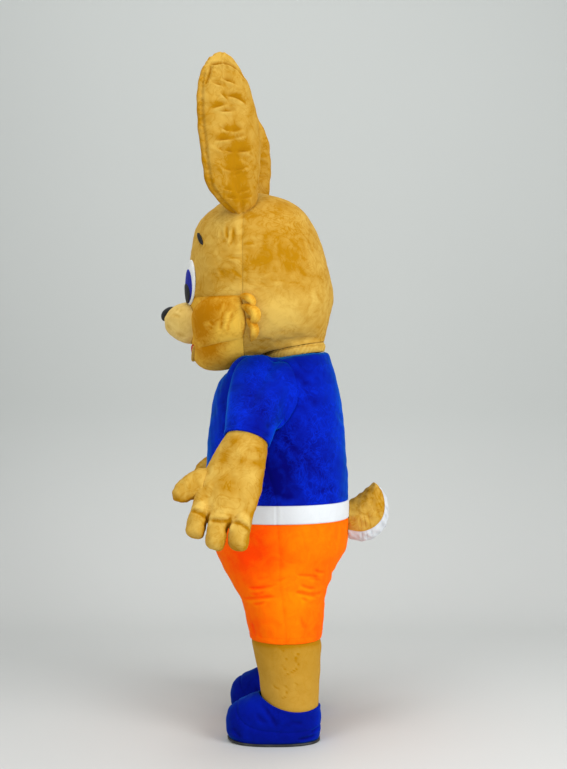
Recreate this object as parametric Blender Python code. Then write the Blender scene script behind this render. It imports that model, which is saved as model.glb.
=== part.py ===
"""A plush rabbit mascot costume as it is worn, hollow, with open neck, cuffs and soles.

Every cloth piece is a wall between an outer and an inner skin. The forms are lofts through rings of
named sizes, measured up from the floor with the front facing -Y and the rabbit's left along +X.
Neighbouring pieces share their seam line and stand a seam gap apart. The origin is moved at the end
to the wearer's shoulders, which carry the costume.
"""

from collections import Counter

import bmesh
import bpy
import numpy as np

SHOULDER_HEIGHT = 1.35
SEAM_GAP = 0.00036
PLUSH = 0.006  # plush backed with foam: body, sleeves, legs
HEAD_SHELL = 0.012
GLOVE_WALL = 0.004
SHOE_WALL = 0.005
TRIM = 0.005
SOLE_THICKNESS = 0.009
BELT_TOP = 0.849
BELT_BOTTOM = 0.783
FACE_SEAM_Y = -0.144  # the plane of the seam between the face and the back of the head

for leftover in list(bpy.data.objects):
    bpy.data.objects.remove(leftover, do_unlink=True)

costume = bpy.data.collections.new("rabbit_mascot_costume")
bpy.context.scene.collection.children.link(costume)
cutters = bpy.data.collections.new("cutters")
bpy.context.scene.collection.children.link(cutters)
wearer_shoulders = bpy.data.objects.new("wearer_shoulders", None)
wearer_shoulders.location = (0, 0, -SHOULDER_HEIGHT)
costume.objects.link(wearer_shoulders)


# Materials


def plush(name, colour, roughness=0.9):
    material = bpy.data.materials.new(name)
    material.use_nodes = True
    shader = material.node_tree.nodes["Principled BSDF"]
    shader.inputs["Base Color"].default_value = (*colour, 1)
    shader.inputs["Roughness"].default_value = roughness
    shader.inputs["Metallic"].default_value = 0
    return material


TAN = plush("tan_plush", (0.61, 0.36, 0.05))
CHEEK = plush("ochre_plush", (0.56, 0.27, 0.02))
MUZZLE = plush("cream_plush", (0.62, 0.42, 0.10))
WHITE = plush("white_plush", (0.82, 0.80, 0.76))
BLUE = plush("blue_velour", (0.01, 0.015, 0.40), 0.7)
ORANGE = plush("orange_plush", (0.95, 0.17, 0.01))
NAVY = plush("blue_shoe_plush", (0.005, 0.01, 0.24))
BLACK = plush("black_felt", (0.01, 0.01, 0.01), 0.6)
RED = plush("red_felt", (0.45, 0.03, 0.02))
RUBBER = plush("black_rubber", (0.02, 0.02, 0.02), 0.5)


# Tables, forms and walls


def table(columns, *rows):
    """A short table as one array for each named column."""
    return dict(zip(columns.split(), np.array(rows, float).T))


def read(column, row):
    """A column read at any row, on a smooth curve through its values."""
    row = np.clip(np.asarray(row, float), 0, len(column) - 1)
    low = np.minimum(row.astype(int), len(column) - 2)
    part = row - low
    before = 2 * column[0] - column[1]
    after = 2 * column[-1] - column[-2]
    padded = np.concatenate([[before], column, [after]])
    a, b, c, d = (padded[low + k] for k in range(4))
    return b + part / 2 * (c - a + part * (2 * a - 5 * b + 4 * c - d + part * (3 * (b - c) + d - a)))


def bent(cosine_or_sine, squareness):
    return np.sign(cosine_or_sine) * np.abs(cosine_or_sine) ** (2 / squareness)


class Rings:
    """A form lofted down a table of rings.

    A row of the table gives the ring's foremost and rearmost point, its half width, the height of its
    sides and its squareness, 2 for an ellipse. A place is a row, which may lie between two, and a
    turn in degrees from the front, through +X at 90 to the back at 180.
    """

    def __init__(self, rings):
        self.rings = dict(rings)
        self.rings.setdefault("centre_x", np.zeros(len(rings["front_y"])))
        self.rings.setdefault("squareness", np.full(len(rings["front_y"]), 2.0))
        self.last = len(rings["front_y"]) - 1

    def point(self, row, turn):
        ring = {name: read(column, row) for name, column in self.rings.items()}
        turn = np.radians(turn)
        forward = bent(np.cos(turn), ring["squareness"])
        sideways = bent(np.sin(turn), ring["squareness"])
        middle_h = (ring["front_h"] + ring["back_h"]) / 2
        x = ring["centre_x"] + ring["half_width"] * sideways
        y = (ring["front_y"] + ring["back_y"]) / 2 + (ring["front_y"] - ring["back_y"]) / 2 * forward
        z = middle_h + (ring["front_h"] - ring["back_h"]) / 2 * forward
        z = z + (ring["side_h"] - middle_h) * sideways**2
        return np.stack([x, y, z], -1)

    def normal(self, row, turn):
        """Outward, across two short steps down and round the form."""
        row = np.clip(row, 0.03, self.last - 0.03)
        down = self.point(row + 0.02, turn) - self.point(row - 0.02, turn)
        round_ = self.point(row, turn + 0.5) - self.point(row, turn - 0.5)
        across = np.cross(down, round_)
        return across / np.linalg.norm(across, axis=-1, keepdims=True)

    def offset(self, row, turn, lift):
        return self.point(row, turn) + self.normal(row, turn) * np.asarray(lift)[..., None]


class Raised(Rings):
    """A form's surface moved out by a lift that varies over it."""

    def __init__(self, base, lift):
        self.base = base
        self.lift = lift
        self.last = base.last

    def point(self, row, turn):
        return self.base.offset(row, turn, self.lift(row, turn))


BORDERS = {"top": (0, 0, 1), "bottom": (0, -1, -2), "first": (1, 0, 1), "last": (1, -1, -2)}


def hold_back(skin, borders):
    """Moves the named borders of a grid of points half a seam gap in from the seam."""
    moved = skin.copy()
    for name in borders.split():
        axis, border, inside = BORDERS[name]
        lines = np.moveaxis(moved, axis, 0)
        source = np.moveaxis(skin, axis, 0)
        step = source[inside] - source[border]
        length = np.linalg.norm(step, axis=-1, keepdims=True)
        lines[border] += step / np.maximum(length, 1e-6) * SEAM_GAP / 2
    return moved


def grid_faces(rows, columns, closed=False):
    """The quads of a grid, facing out where rows run down and columns run from front towards +X."""
    faces = []
    for row in range(rows - 1):
        for column in range(columns if closed else columns - 1):
            beside = (column + 1) % columns
            corner = row * columns
            below = corner + columns
            faces.append((corner + column, below + column, below + beside, corner + beside))
    return faces


def polar_faces(rings, columns, closed=False):
    """The quads of a grid whose rows are circles from its middle out, from the top towards +X."""
    return [face[::-1] for face in grid_faces(rings, columns, closed)]


def add_mesh(name, points, faces, material, side=1, collection=costume):
    """One object from points and faces; side -1 mirrors it to the rabbit's right."""
    points = np.asarray(points) * (side, 1, 1)
    mesh = bpy.data.meshes.new(name)
    faces = [face if side == 1 else (face[0], *face[:0:-1]) for face in faces]
    mesh.from_pydata(points.tolist(), [], faces)
    work = bmesh.new()
    work.from_mesh(mesh)
    bmesh.ops.remove_doubles(work, verts=work.verts, dist=2e-5)
    work.to_mesh(mesh)
    work.free()
    mesh.materials.append(material)
    mesh.shade_smooth()
    mesh.set_sharp_from_angle(angle=np.radians(50))
    piece = bpy.data.objects.new(name, mesh)
    collection.objects.link(piece)
    piece.parent = wearer_shoulders
    return piece


def wall(name, outer, inner, faces, material, side=1):
    """A closed solid between two skins with the same faces; a rim closes edges that one face uses."""
    outer = np.asarray(outer).reshape(-1, 3)
    inner = np.asarray(inner).reshape(-1, 3)
    count = len(outer)
    edges = Counter()
    for face in faces:
        edges.update(zip(face, face[1:] + face[:1]))
    rim = [(b, a, a + count, b + count) for a, b in edges if (b, a) not in edges]
    back = [tuple(corner + count for corner in reversed(face)) for face in faces]
    return add_mesh(name, np.concatenate([outer, inner]), list(faces) + back + rim, material, side)


def skins(form, row, turn, thickness, lift=0.0):
    row, turn = np.broadcast_arrays(row, turn)
    return form.offset(row, turn, lift), form.offset(row, turn, lift - thickness)


def panel(name, form, row, turn, thickness, material, borders="", keep=None, lift=0.0, side=1):
    """A cut panel of a form: a grid of rows and turns, its named borders held back from their seams.

    keep moves points that would cross a seam's plane.
    """
    made = []
    for skin in skins(form, row, turn, thickness, lift):
        skin = hold_back(skin, borders)
        made.append(keep(skin) if keep else skin)
    rows, columns = made[0].shape[:2]
    return wall(name, *made, grid_faces(rows, columns), material, side)


def tube(name, form, rows, columns, thickness, material, borders="", lift=0.0, side=1):
    """A whole sleeve-like piece of a form, all round."""
    turn = np.arange(columns) * 360 / columns
    made = [hold_back(skin, borders) for skin in skins(form, rows[:, None], turn[None], thickness, lift)]
    return wall(name, *made, grid_faces(len(rows), columns, closed=True), material, side)


def closed_skin(name, form, rows, columns, lift):
    """A solid that fills a form, as a cutter."""
    turn = np.arange(columns) * 360 / columns
    skin = form.offset(*np.broadcast_arrays(rows[:, None], turn[None]), lift).reshape(-1, 3)
    faces = grid_faces(len(rows), columns, closed=True)
    faces.append(tuple(range(columns)))
    faces.append(tuple(reversed(range(len(skin) - columns, len(skin)))))
    cutter = add_mesh(name, skin, faces, TAN, collection=cutters)
    cutter.hide_render = True
    cutter.display_type = "WIRE"
    return cutter


def cut(piece, cutter):
    modifier = piece.modifiers.new("seat", "BOOLEAN")
    modifier.operation = "DIFFERENCE"
    modifier.object = cutter


def mirrored(cutter):
    """The same cutter for the rabbit's right."""
    points = np.array([vertex.co for vertex in cutter.data.vertices])
    faces = [tuple(face.vertices) for face in cutter.data.polygons]
    other = add_mesh(cutter.name + "_right", points, faces, TAN, -1, cutters)
    other.hide_render = True
    other.display_type = "WIRE"
    return other


def keep_left(skin):
    """The left of the centre seam."""
    skin = skin.copy()
    skin[..., 0] = np.maximum(skin[..., 0], SEAM_GAP / 2)
    return skin


def between(low, high, left=False):
    """Between two level seams, and left of the centre seam too where that is asked."""

    def keep(skin):
        skin = keep_left(skin) if left else skin.copy()
        skin[..., 2] = np.clip(skin[..., 2], low + SEAM_GAP / 2, high - SEAM_GAP / 2)
        return skin

    return keep


# Head: a foam shell covered in plush, in a face, two backs and a jaw

HEAD = Rings(
    table(
        "front_y front_h back_y back_h half_width side_h squareness",
        (-0.144, 1.992, -0.144, 1.992, 0.000, 1.992, 2.0),
        (-0.205, 1.972, -0.075, 1.990, 0.085, 1.976, 2.0),
        (-0.262, 1.935, 0.015, 1.965, 0.153, 1.942, 2.0),
        (-0.306, 1.892, 0.080, 1.918, 0.210, 1.894, 2.1),
        (-0.331, 1.845, 0.118, 1.858, 0.250, 1.838, 2.2),
        (-0.343, 1.785, 0.148, 1.785, 0.276, 1.775, 2.2),
        (-0.351, 1.715, 0.168, 1.712, 0.289, 1.705, 2.3),
        (-0.356, 1.650, 0.181, 1.642, 0.294, 1.640, 2.3),
        (-0.354, 1.590, 0.186, 1.590, 0.292, 1.589, 2.3),
        (-0.350, 1.530, 0.177, 1.545, 0.282, 1.537, 2.3),
        (-0.347, 1.470, 0.168, 1.507, 0.258, 1.492, 2.2),
        (-0.344, 1.412, 0.161, 1.476, 0.226, 1.456, 2.1),
        (-0.332, 1.365, 0.157, 1.458, 0.193, 1.434, 2.0),
        (-0.298, 1.335, 0.155, 1.449, 0.165, 1.424, 2.0),
        (-0.238, 1.329, 0.154, 1.443, 0.145, 1.419, 2.0),
        (-0.160, 1.350, 0.1535, 1.440, 0.129, 1.4175, 2.0),
        (-0.076, 1.397, 0.1535, 1.438, 0.117, 1.4172, 2.0),
    )
)
CHEEK_ROW = 8.0
HEAD_ROWS = np.array([0, 1, 2, 3, 4, 5, 6, 7, 8, 9, 10, 11, 12, 13, 14, 16.0])


def face_seam_turn(row):
    """The turn at which a ring of the head crosses the plane of the face seam."""
    front = read(HEAD.rings["front_y"], row)
    back = read(HEAD.rings["back_y"], row)
    reach = np.maximum((back - front) / 2, 1e-6)
    forward = np.clip(((front + back) / 2 - FACE_SEAM_Y) / reach, 0, 1)
    forward = np.where(row < 0.01, 0, forward)
    return np.degrees(np.arccos(forward ** (read(HEAD.rings["squareness"], row) / 2)))


def before_face_seam(skin):
    skin = skin.copy()
    skin[..., 1] = np.minimum(skin[..., 1], FACE_SEAM_Y - SEAM_GAP / 2)
    return skin


def behind_face_seam(skin):
    skin = keep_left(skin)
    skin[..., 1] = np.maximum(skin[..., 1], FACE_SEAM_Y + SEAM_GAP / 2)
    return skin


def make_head():
    face_rows = HEAD_ROWS[HEAD_ROWS <= CHEEK_ROW][:, None]
    jaw_rows = HEAD_ROWS[HEAD_ROWS >= CHEEK_ROW][:, None]
    across = np.linspace(-1, 1, 15)[None]
    backwards = np.linspace(0, 1, 8)[None]
    for name, rows, colour, seam in (("head_face", face_rows, TAN, "bottom"), ("jaw", jaw_rows, CHEEK, "top")):
        turn = across * face_seam_turn(rows)
        panel(name, HEAD, rows, turn, HEAD_SHELL, colour, seam, before_face_seam)
    back_rows = HEAD_ROWS[:, None]
    seam = face_seam_turn(back_rows)
    for name, side in (("left", 1), ("right", -1)):
        turn = seam + (180 - seam) * backwards
        panel(f"head_back_{name}", HEAD, back_rows, turn, HEAD_SHELL, TAN, "", behind_face_seam, side=side)


BAND = Rings(
    table(
        "front_y front_h back_y back_h half_width side_h",
        (-0.0750, 1.3961, 0.1530, 1.4368, 0.1165, 1.4162),
        (-0.0780, 1.3850, 0.1570, 1.4230, 0.1198, 1.4040),
        (-0.0750, 1.3718, 0.1560, 1.4080, 0.1180, 1.3902),
    )
)


# Trims of the face: pads and felt shapes laid on the head

PAD_GAP = 0.0010


def disc(name, form, row, turn, half_rows, half_turns, thickness, dome, material, side=1, slant=0.0):
    """An oval pad on a form, domed in the middle, from circles about its middle."""
    reach = np.array([0.0, 0.65, 1.0])[:, None]
    angle = np.radians(np.arange(14) * 360 / 14)[None]
    rows = row + half_rows * reach * -np.cos(angle) + slant * reach * np.sin(angle)
    turns = turn + half_turns * reach * np.sin(angle)
    inner = form.offset(rows, turns, np.full(rows.shape, PAD_GAP))
    swell = dome * np.sqrt(np.maximum(1 - reach**2, 0)) + 0 * angle
    outer = form.offset(rows, turns, PAD_GAP + thickness + swell)
    return wall(name, outer, inner, polar_faces(3, 14, closed=True), material, side)


EYE = {"row": 6.85, "turn": 14.6, "half_rows": 1.33, "half_turns": 10.2, "thickness": 0.003, "dome": 0.005}
IRIS = {"row": 7.10, "turn": 13.6, "half_rows": 0.92, "half_turns": 6.6, "thickness": 0.0015, "dome": 0.001}
PUPIL = {"row": 7.25, "turn": 13.0, "half_rows": 0.58, "half_turns": 3.9, "thickness": 0.0015, "dome": 0.001}
BROW = {"row": 4.05, "turn": 19.0, "half_rows": 0.20, "half_turns": 10.5, "thickness": 0.004, "dome": 0.003}


def dome_of(pad):
    """The lift of a pad's face over the form that it lies on, carried on past its edge."""

    def lift(row, turn):
        reach = ((row - pad["row"]) / pad["half_rows"]) ** 2 + ((turn - pad["turn"]) / pad["half_turns"]) ** 2
        return PAD_GAP + pad["thickness"] + pad["dome"] * np.sqrt(np.maximum(1 - reach, 0))

    return lift


def make_eyes():
    on_white = Raised(HEAD, dome_of(EYE))
    on_iris = Raised(on_white, dome_of(IRIS))
    for name, side in (("left", 1), ("right", -1)):
        disc(f"eye_white_{name}", HEAD, **EYE, material=WHITE, side=side)
        disc(f"iris_{name}", on_white, **IRIS, material=BLUE, side=side)
        disc(f"pupil_{name}", on_iris, **PUPIL, material=BLACK, side=side)
        disc(f"brow_{name}", HEAD, **BROW, material=BLACK, side=side, slant=0.18)


BESIDE_FACETS = 0.0024  # a pad's clearance where its facets and the head's don't line up
CHEEK_LINES = table(
    "row rear_turn",
    (8.05, 77.0),
    (8.50, 87.0),
    (9.00, 78.5),
    (9.65, 91.0),
    (10.15, 80.0),
    (10.75, 90.0),
    (11.25, 76.0),
)


def make_cheeks():
    """Long pads from beside the muzzle to behind the face seam, ending in three tufts."""
    row = CHEEK_LINES["row"][:, None]
    front_turn = 31 + 3 * ((row - 9.6) / 1.6) ** 2
    reach = np.array([0, 0.15, 0.3, 0.45, 0.6, 0.73, 0.87, 1.0])[None]
    turn = front_turn + (CHEEK_LINES["rear_turn"][:, None] - front_turn) * reach
    body = np.sin(np.pi * (row - 7.6) / 4.1) * np.sin(np.pi * np.clip(0.12 + 0.8 * reach, 0, 1))
    for name, side in (("left", 1), ("right", -1)):
        inner = HEAD.offset(row + 0 * turn, turn, np.full(turn.shape, BESIDE_FACETS))
        outer = HEAD.offset(row + 0 * turn, turn, BESIDE_FACETS + TRIM + 0.010 * np.maximum(body, 0))
        wall(f"cheek_{name}", outer, inner, grid_faces(*turn.shape), CHEEK, side)


MUZZLE_SIZE = {"row": 9.4, "half_rows": 1.3, "half_turns": 28.0, "reach": 0.098}
MUZZLE_GROOVE = 0.10
MUZZLE_GAP = 0.0010


def muzzle_point(across, down, groove=MUZZLE_GROOVE, lift=0.0):
    """The muzzle's surface; across and down run from -1 to 1 over the head's front."""
    size = MUZZLE_SIZE
    ground = muzzle_base(across, down)
    swell = np.maximum(1 - across**2 - down**2, 0) ** 0.55
    swell = swell * (1 - groove * np.exp(-((across / 0.16) ** 2)))
    return ground - np.stack([0 * swell, swell * size["reach"] + lift, 0 * swell], -1)


def make_muzzle():
    reach = np.array([0.0, 0.35, 0.62, 0.82, 0.94, 1.0])[:, None]
    angle = np.radians(np.linspace(0, 180, 11))[None]
    across, down = reach * np.sin(angle), -reach * np.cos(angle)
    outer = keep_left(muzzle_point(across, down, lift=0.002))
    inner = keep_left(muzzle_point(across, down) * (1, 0, 1) + muzzle_base(across, down) * (0, 1, 0))
    for name, side in (("left", 1), ("right", -1)):
        wall(f"muzzle_{name}", outer, inner, polar_faces(*across.shape), MUZZLE, side)


def muzzle_base(across, down):
    size = MUZZLE_SIZE
    row = size["row"] + size["half_rows"] * down
    return HEAD.offset(row, size["half_turns"] * across, 0 * across + MUZZLE_GAP)


def make_nose():
    reach = np.array([0.0, 0.5, 0.85, 1.0])[:, None]
    angle = np.radians(np.arange(14) * 360 / 14)[None]
    across = 0.27 * reach * np.sin(angle) * (1 + 0.25 * np.cos(angle))
    down = -0.50 - 0.22 * reach * np.cos(angle)
    inner = muzzle_point(across, down, groove=0.0, lift=0.0009)
    outer = muzzle_point(across, down, groove=0.0, lift=0.0044)
    outer[..., 1] -= 0.012 * np.sqrt(1 - reach**2)
    outer[..., 2] += 0.006 * np.sqrt(1 - reach**2)
    wall("nose", outer, inner, polar_faces(4, 14, closed=True), BLACK)


def make_mouth():
    """A felt crescent under the muzzle and the padded lip that runs below it."""
    turn = np.linspace(-20, 20, 13)[None]
    depth = 1 - (turn / 20) ** 2
    upper = 10.82 + 0.05 * depth
    lower = 10.90 + 0.80 * depth
    part = np.array([0.0, 0.5, 1.0])[:, None]
    row = upper + (lower - upper) * part
    panel("mouth", HEAD, row, turn + 0 * row, 0.003, RED, lift=SEAM_GAP + 0.003)
    lip_turn = turn * 1.16
    lip_lower = lower + 0.16 + 0.16 * depth
    row = (lower + 0.03) + (lip_lower - lower - 0.03) * part
    inner = HEAD.offset(row, lip_turn + 0 * row, np.full(row.shape, SEAM_GAP))
    outer = HEAD.offset(row, lip_turn + 0 * row, SEAM_GAP + 0.003 + 0.008 * np.sin(np.pi * part) + 0 * row)
    wall("lower_lip", outer, inner, grid_faces(*row.shape), TAN)


# Ears: stuffed, an outer and an inner panel sewn round the edge and creased across

EAR = table(
    "height middle_y half_width half_thickness",
    (2.466, -0.221, 0.012, 0.004),
    (2.450, -0.221, 0.038, 0.012),
    (2.420, -0.220, 0.064, 0.021),
    (2.365, -0.214, 0.092, 0.031),
    (2.295, -0.207, 0.108, 0.038),
    (2.215, -0.198, 0.116, 0.042),
    (2.130, -0.190, 0.114, 0.044),
    (2.050, -0.187, 0.107, 0.046),
    (1.985, -0.182, 0.097, 0.045),
    (1.945, -0.170, 0.080, 0.042),
    (1.915, -0.160, 0.056, 0.036),
    (1.880, -0.158, 0.014, 0.014),
)
EAR_TURN = np.radians(24)  # how far the inner face is turned to the front
EAR_X = 0.193
EAR_CREASES = table(
    "height depth reach",
    (2.378, 0.006, 0.45),
    (2.318, 0.009, 0.62),
    (2.270, 0.006, 0.40),
    (2.212, 0.010, 0.66),
    (2.162, 0.008, 0.50),
    (2.108, 0.010, 0.60),
    (2.052, 0.008, 0.55),
    (1.996, 0.007, 0.45),
)


EAR_FRONT_SEAM = 28.0  # where the inner panel, wrapped round the front edge, meets the outer one


def ear_surface(row, turn, lean):
    """A point of an ear; turn runs from its front edge at 0 over its outer face to its back edge at 180.

    Below 0 it runs over the inner face. Both faces dip along the middle and pucker across it.
    """
    height = read(EAR["height"], row)
    half_width = read(EAR["half_width"], row)
    across = -np.cos(np.radians(turn))
    rise = np.abs(np.sin(np.radians(turn)))
    swell = read(EAR["half_thickness"], row) * rise**1.2
    valley = 0.20 * swell * np.exp(-((across / 0.14) ** 2))
    for crease_height, depth, reach in zip(*EAR_CREASES.values()):
        crease = np.exp(-(((height - crease_height + 0.05 * np.abs(across) * half_width) / 0.012) ** 2))
        valley = valley + depth * rise * crease * np.exp(-((across / reach) ** 2))
    out = np.sign(np.sin(np.radians(turn))) * (swell - valley)
    set_back = lean * np.clip((height - 1.95) / 0.15, 0, 1)
    x = EAR_X - np.sin(EAR_TURN) * half_width * across + np.cos(EAR_TURN) * out
    y = read(EAR["middle_y"], row) + set_back + np.cos(EAR_TURN) * half_width * across + np.sin(EAR_TURN) * out
    return np.stack([x, y, height + 0 * out], -1)


def ear_skins(row, turn, lean):
    """A panel's outer skin, and the flat one through its two seams that it is stuffed against."""
    outer = ear_surface(row, turn, lean)
    part = np.linspace(0, 1, turn.shape[1])[None, :, None]
    chord = outer[:, :1] * (1 - part) + outer[:, -1:] * part
    away = outer.mean(axis=1, keepdims=True) - chord.mean(axis=1, keepdims=True)
    away = away / np.linalg.norm(away, axis=-1, keepdims=True)
    return outer + away * 0.002, chord + away * SEAM_GAP / 2


def make_ears():
    cutter = closed_skin("head_cutter", HEAD, np.concatenate([[0.05], np.arange(0.5, 10.5, 0.5)]), 48, 0.0007)
    row = np.array([0, 1, 2, 2.7, 3.3, 3.8, 4.3, 4.65, 5, 5.35, 5.65, 5.95, 6.25, 6.65, 7, 7.8, 9, 10, 11.0])
    outer_turn = np.linspace(EAR_FRONT_SEAM, 180, 8)[None]
    inner_turn = np.linspace(EAR_FRONT_SEAM, -180, 10)[None]
    for name, side, lean in (("left", 1, 0.0), ("right", -1, 0.024)):
        for panel_name, turn, way in (("outer", outer_turn, 1), ("inner", inner_turn, -1)):
            rows, turns = np.broadcast_arrays(row[:, None], turn)
            faces = [quad[::way] for quad in grid_faces(*rows.shape)]
            ear = wall(f"ear_{panel_name}_{name}", *ear_skins(rows, turns, lean), faces, TAN, side)
            cut(ear, cutter)


# Shirt: a front, two backs with a centre seam, and set-in sleeves

class Shouldered(Rings):
    """A form whose shoulder column lifts its front shoulders by that much, from 15 to 74 degrees."""

    def point(self, row, turn):
        skin = super().point(row, turn)
        turn = np.abs(np.broadcast_to(turn, skin.shape[:-1]))
        window = np.clip((turn - 15) / 27, 0, 1) * np.clip((74 - turn) / 12, 0, 1)
        skin[..., 2] += read(self.rings["shoulder"], row) * window**2 * (3 - 2 * window)
        return skin


SHIRT = Shouldered(
    table(
        "front_y front_h back_y back_h half_width side_h squareness side_turn shoulder",
        (-0.0752, 1.3712, 0.1562, 1.4072, 0.1182, 1.3894, 2.0, 82, 0.000),
        (-0.1250, 1.3480, 0.1710, 1.3910, 0.1620, 1.3720, 2.0, 79, 0.012),
        (-0.1780, 1.3300, 0.1810, 1.3620, 0.1980, 1.3420, 2.0, 77, 0.050),
        (-0.2200, 1.3120, 0.1900, 1.3320, 0.2180, 1.3120, 2.1, 76, 0.052),
        (-0.2460, 1.2780, 0.2030, 1.2800, 0.2330, 1.2700, 2.1, 76, 0.030),
        (-0.2620, 1.2200, 0.2150, 1.2200, 0.2460, 1.2150, 2.2, 76, 0.006),
        (-0.2720, 1.1650, 0.2210, 1.1650, 0.2570, 1.1620, 2.2, 76, 0.000),
        (-0.2800, 1.1050, 0.2270, 1.1050, 0.2670, 1.1030, 2.2, 77, 0.000),
        (-0.2860, 1.0400, 0.2340, 1.0400, 0.2750, 1.0400, 2.2, 80, 0.000),
        (-0.2890, 0.9750, 0.2390, 0.9750, 0.2790, 0.9750, 2.2, 84, 0.000),
        (-0.2890, 0.9100, 0.2420, 0.9100, 0.2800, 0.9100, 2.2, 88, 0.000),
        (-0.2870, 0.8490, 0.2430, 0.8490, 0.2800, 0.8490, 2.2, 90, 0.000),
    )
)
ARMHOLE = {"row": 4.2, "half_rows": 2.9, "half_turns": 31.0}
ARMHOLE_STEPS = 8
CUFF_CENTRE = np.array([0.365, -0.127, 1.083])
CUFF_RADIUS = 0.0815
ARM = np.array([0.442, -0.228, -0.868])
ARM = ARM / np.linalg.norm(ARM)
HAND_OUT = np.array([0.9, 0.05, 0.45])
HAND_OUT = HAND_OUT - ARM * (HAND_OUT @ ARM)
HAND_OUT = HAND_OUT / np.linalg.norm(HAND_OUT)
HAND_ACROSS = np.cross(ARM, HAND_OUT)  # towards the thumb


def armhole_rows():
    return ARMHOLE["row"] - ARMHOLE["half_rows"] * np.cos(np.pi * np.arange(ARMHOLE_STEPS + 1) / ARMHOLE_STEPS)


def armhole_half(row):
    inside = 1 - ((row - ARMHOLE["row"]) / ARMHOLE["half_rows"]) ** 2
    return ARMHOLE["half_turns"] * np.sqrt(np.maximum(inside, 0))


def make_shirt():
    rows = np.concatenate([[0, 0.65], armhole_rows(), [8, 9, 10, 11.0]])[:, None]
    side_turn = read(SHIRT.rings["side_turn"], rows)
    front_end = side_turn - armhole_half(rows)
    back_start = side_turn + armhole_half(rows)
    front_turn = np.linspace(-1, 1, 13)[None] * front_end
    panel("shirt_front", SHIRT, rows, front_turn, PLUSH, BLUE, "first last", between(BELT_TOP, 2))
    keep = between(BELT_TOP, 2, left=True)
    for name, side in (("left", 1), ("right", -1)):
        turn = back_start + (180 - back_start) * np.linspace(0, 1, 7)[None]
        panel(f"shirt_back_{name}", SHIRT, rows, turn, PLUSH, BLUE, "first", keep, side=side)


def sleeve_skin(part, angle, inset):
    """The sleeve from its armhole to its cuff; part runs 0 to 1 and angle from the top of the armhole.

    Each line leaves the armhole outwards, swells over the shoulder and comes down along the arm.
    """
    row = ARMHOLE["row"] - ARMHOLE["half_rows"] * np.cos(angle)
    turn = read(SHIRT.rings["side_turn"], row) + ARMHOLE["half_turns"] * np.sin(angle)
    start = SHIRT.point(row, turn)
    middle = start.mean(axis=(0, 1), keepdims=True)
    inwards = middle - start
    inwards = inwards / np.linalg.norm(inwards, axis=-1, keepdims=True)
    start = start + inwards * inset
    away = np.array([0.90, -0.30, 0.05])
    round_cuff = np.cos(angle)[..., None] * HAND_OUT - np.sin(angle)[..., None] * HAND_ACROSS
    end = CUFF_CENTRE + round_cuff * (CUFF_RADIUS - inset)
    leave = (away * 0.12 - inwards * 0.05) * 1.2
    arrive = ARM * 0.16 - round_cuff * 0.015
    s = part[..., None]
    return (
        (2 * s**3 - 3 * s**2 + 1) * start
        + (s**3 - 2 * s**2 + s) * leave
        + (3 * s**2 - 2 * s**3) * end
        + (s**3 - s**2) * arrive
    )


def make_sleeves():
    part = np.array([0, 0.16, 0.34, 0.54, 0.76, 0.93, 1.0])[:, None]
    angle = np.pi * np.arange(2 * ARMHOLE_STEPS)[None] / ARMHOLE_STEPS
    part, angle = np.broadcast_arrays(part, angle)
    for name, side in (("left", 1), ("right", -1)):
        outer = hold_back(sleeve_skin(part, angle, 0.0), "top")
        inner = hold_back(sleeve_skin(part, angle, PLUSH), "top")
        wall(f"sleeve_{name}", outer, inner, grid_faces(*part.shape, closed=True), BLUE, side)


# Belt and shorts

BELT = Rings(
    table(
        "front_y front_h back_y back_h half_width side_h squareness",
        (-0.2890, 0.8490, 0.2450, 0.8490, 0.2820, 0.8490, 2.2),
        (-0.2895, 0.8160, 0.2455, 0.8160, 0.2825, 0.8160, 2.2),
        (-0.2870, 0.7830, 0.2450, 0.7830, 0.2810, 0.7830, 2.2),
    )
)
SHORTS = Rings(
    table(
        "front_y front_h back_y back_h half_width side_h squareness centre_x",
        (-0.2845, 0.783, 0.2430, 0.783, 0.2790, 0.783, 2.2, 0.000),
        (-0.2810, 0.740, 0.2420, 0.740, 0.2790, 0.740, 2.2, 0.000),
        (-0.2700, 0.700, 0.2395, 0.700, 0.2690, 0.700, 2.2, 0.009),
        (-0.2530, 0.660, 0.2290, 0.660, 0.2460, 0.660, 2.2, 0.030),
        (-0.2310, 0.620, 0.2020, 0.620, 0.2130, 0.620, 2.1, 0.061),
        (-0.2040, 0.580, 0.1770, 0.580, 0.1790, 0.580, 2.1, 0.096),
        (-0.1780, 0.540, 0.1610, 0.540, 0.1560, 0.540, 2.0, 0.127),
        (-0.1540, 0.500, 0.1510, 0.500, 0.1450, 0.500, 2.0, 0.1452),
        (-0.1420, 0.460, 0.1480, 0.460, 0.1400, 0.460, 2.0, 0.1500),
        (-0.1330, 0.420, 0.1465, 0.420, 0.1370, 0.420, 2.0, 0.1510),
        (-0.1270, 0.390, 0.1440, 0.390, 0.1345, 0.390, 2.0, 0.1510),
        (-0.1225, 0.362, 0.1400, 0.362, 0.1320, 0.362, 2.0, 0.1510),
    )
)


def make_belt():
    rows = np.array([0, 1, 2.0])[:, None]
    half = np.linspace(-1, 1, 17)[None]
    panel("belt_front", BELT, rows, 90 * half, PLUSH, WHITE, "first last", between(BELT_BOTTOM, BELT_TOP))
    panel("belt_back", BELT, rows, 180 + 90 * half, PLUSH, WHITE, "first last", between(BELT_BOTTOM, BELT_TOP))


def crotch_turn(row):
    """How far past the front, or the back, a leg's ring reaches before the centre seam cuts it."""
    reach = np.clip(read(SHORTS.rings["centre_x"], row) / read(SHORTS.rings["half_width"], row), 0, 1)
    return np.degrees(np.arcsin(reach ** (read(SHORTS.rings["squareness"], row) / 2)))


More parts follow.
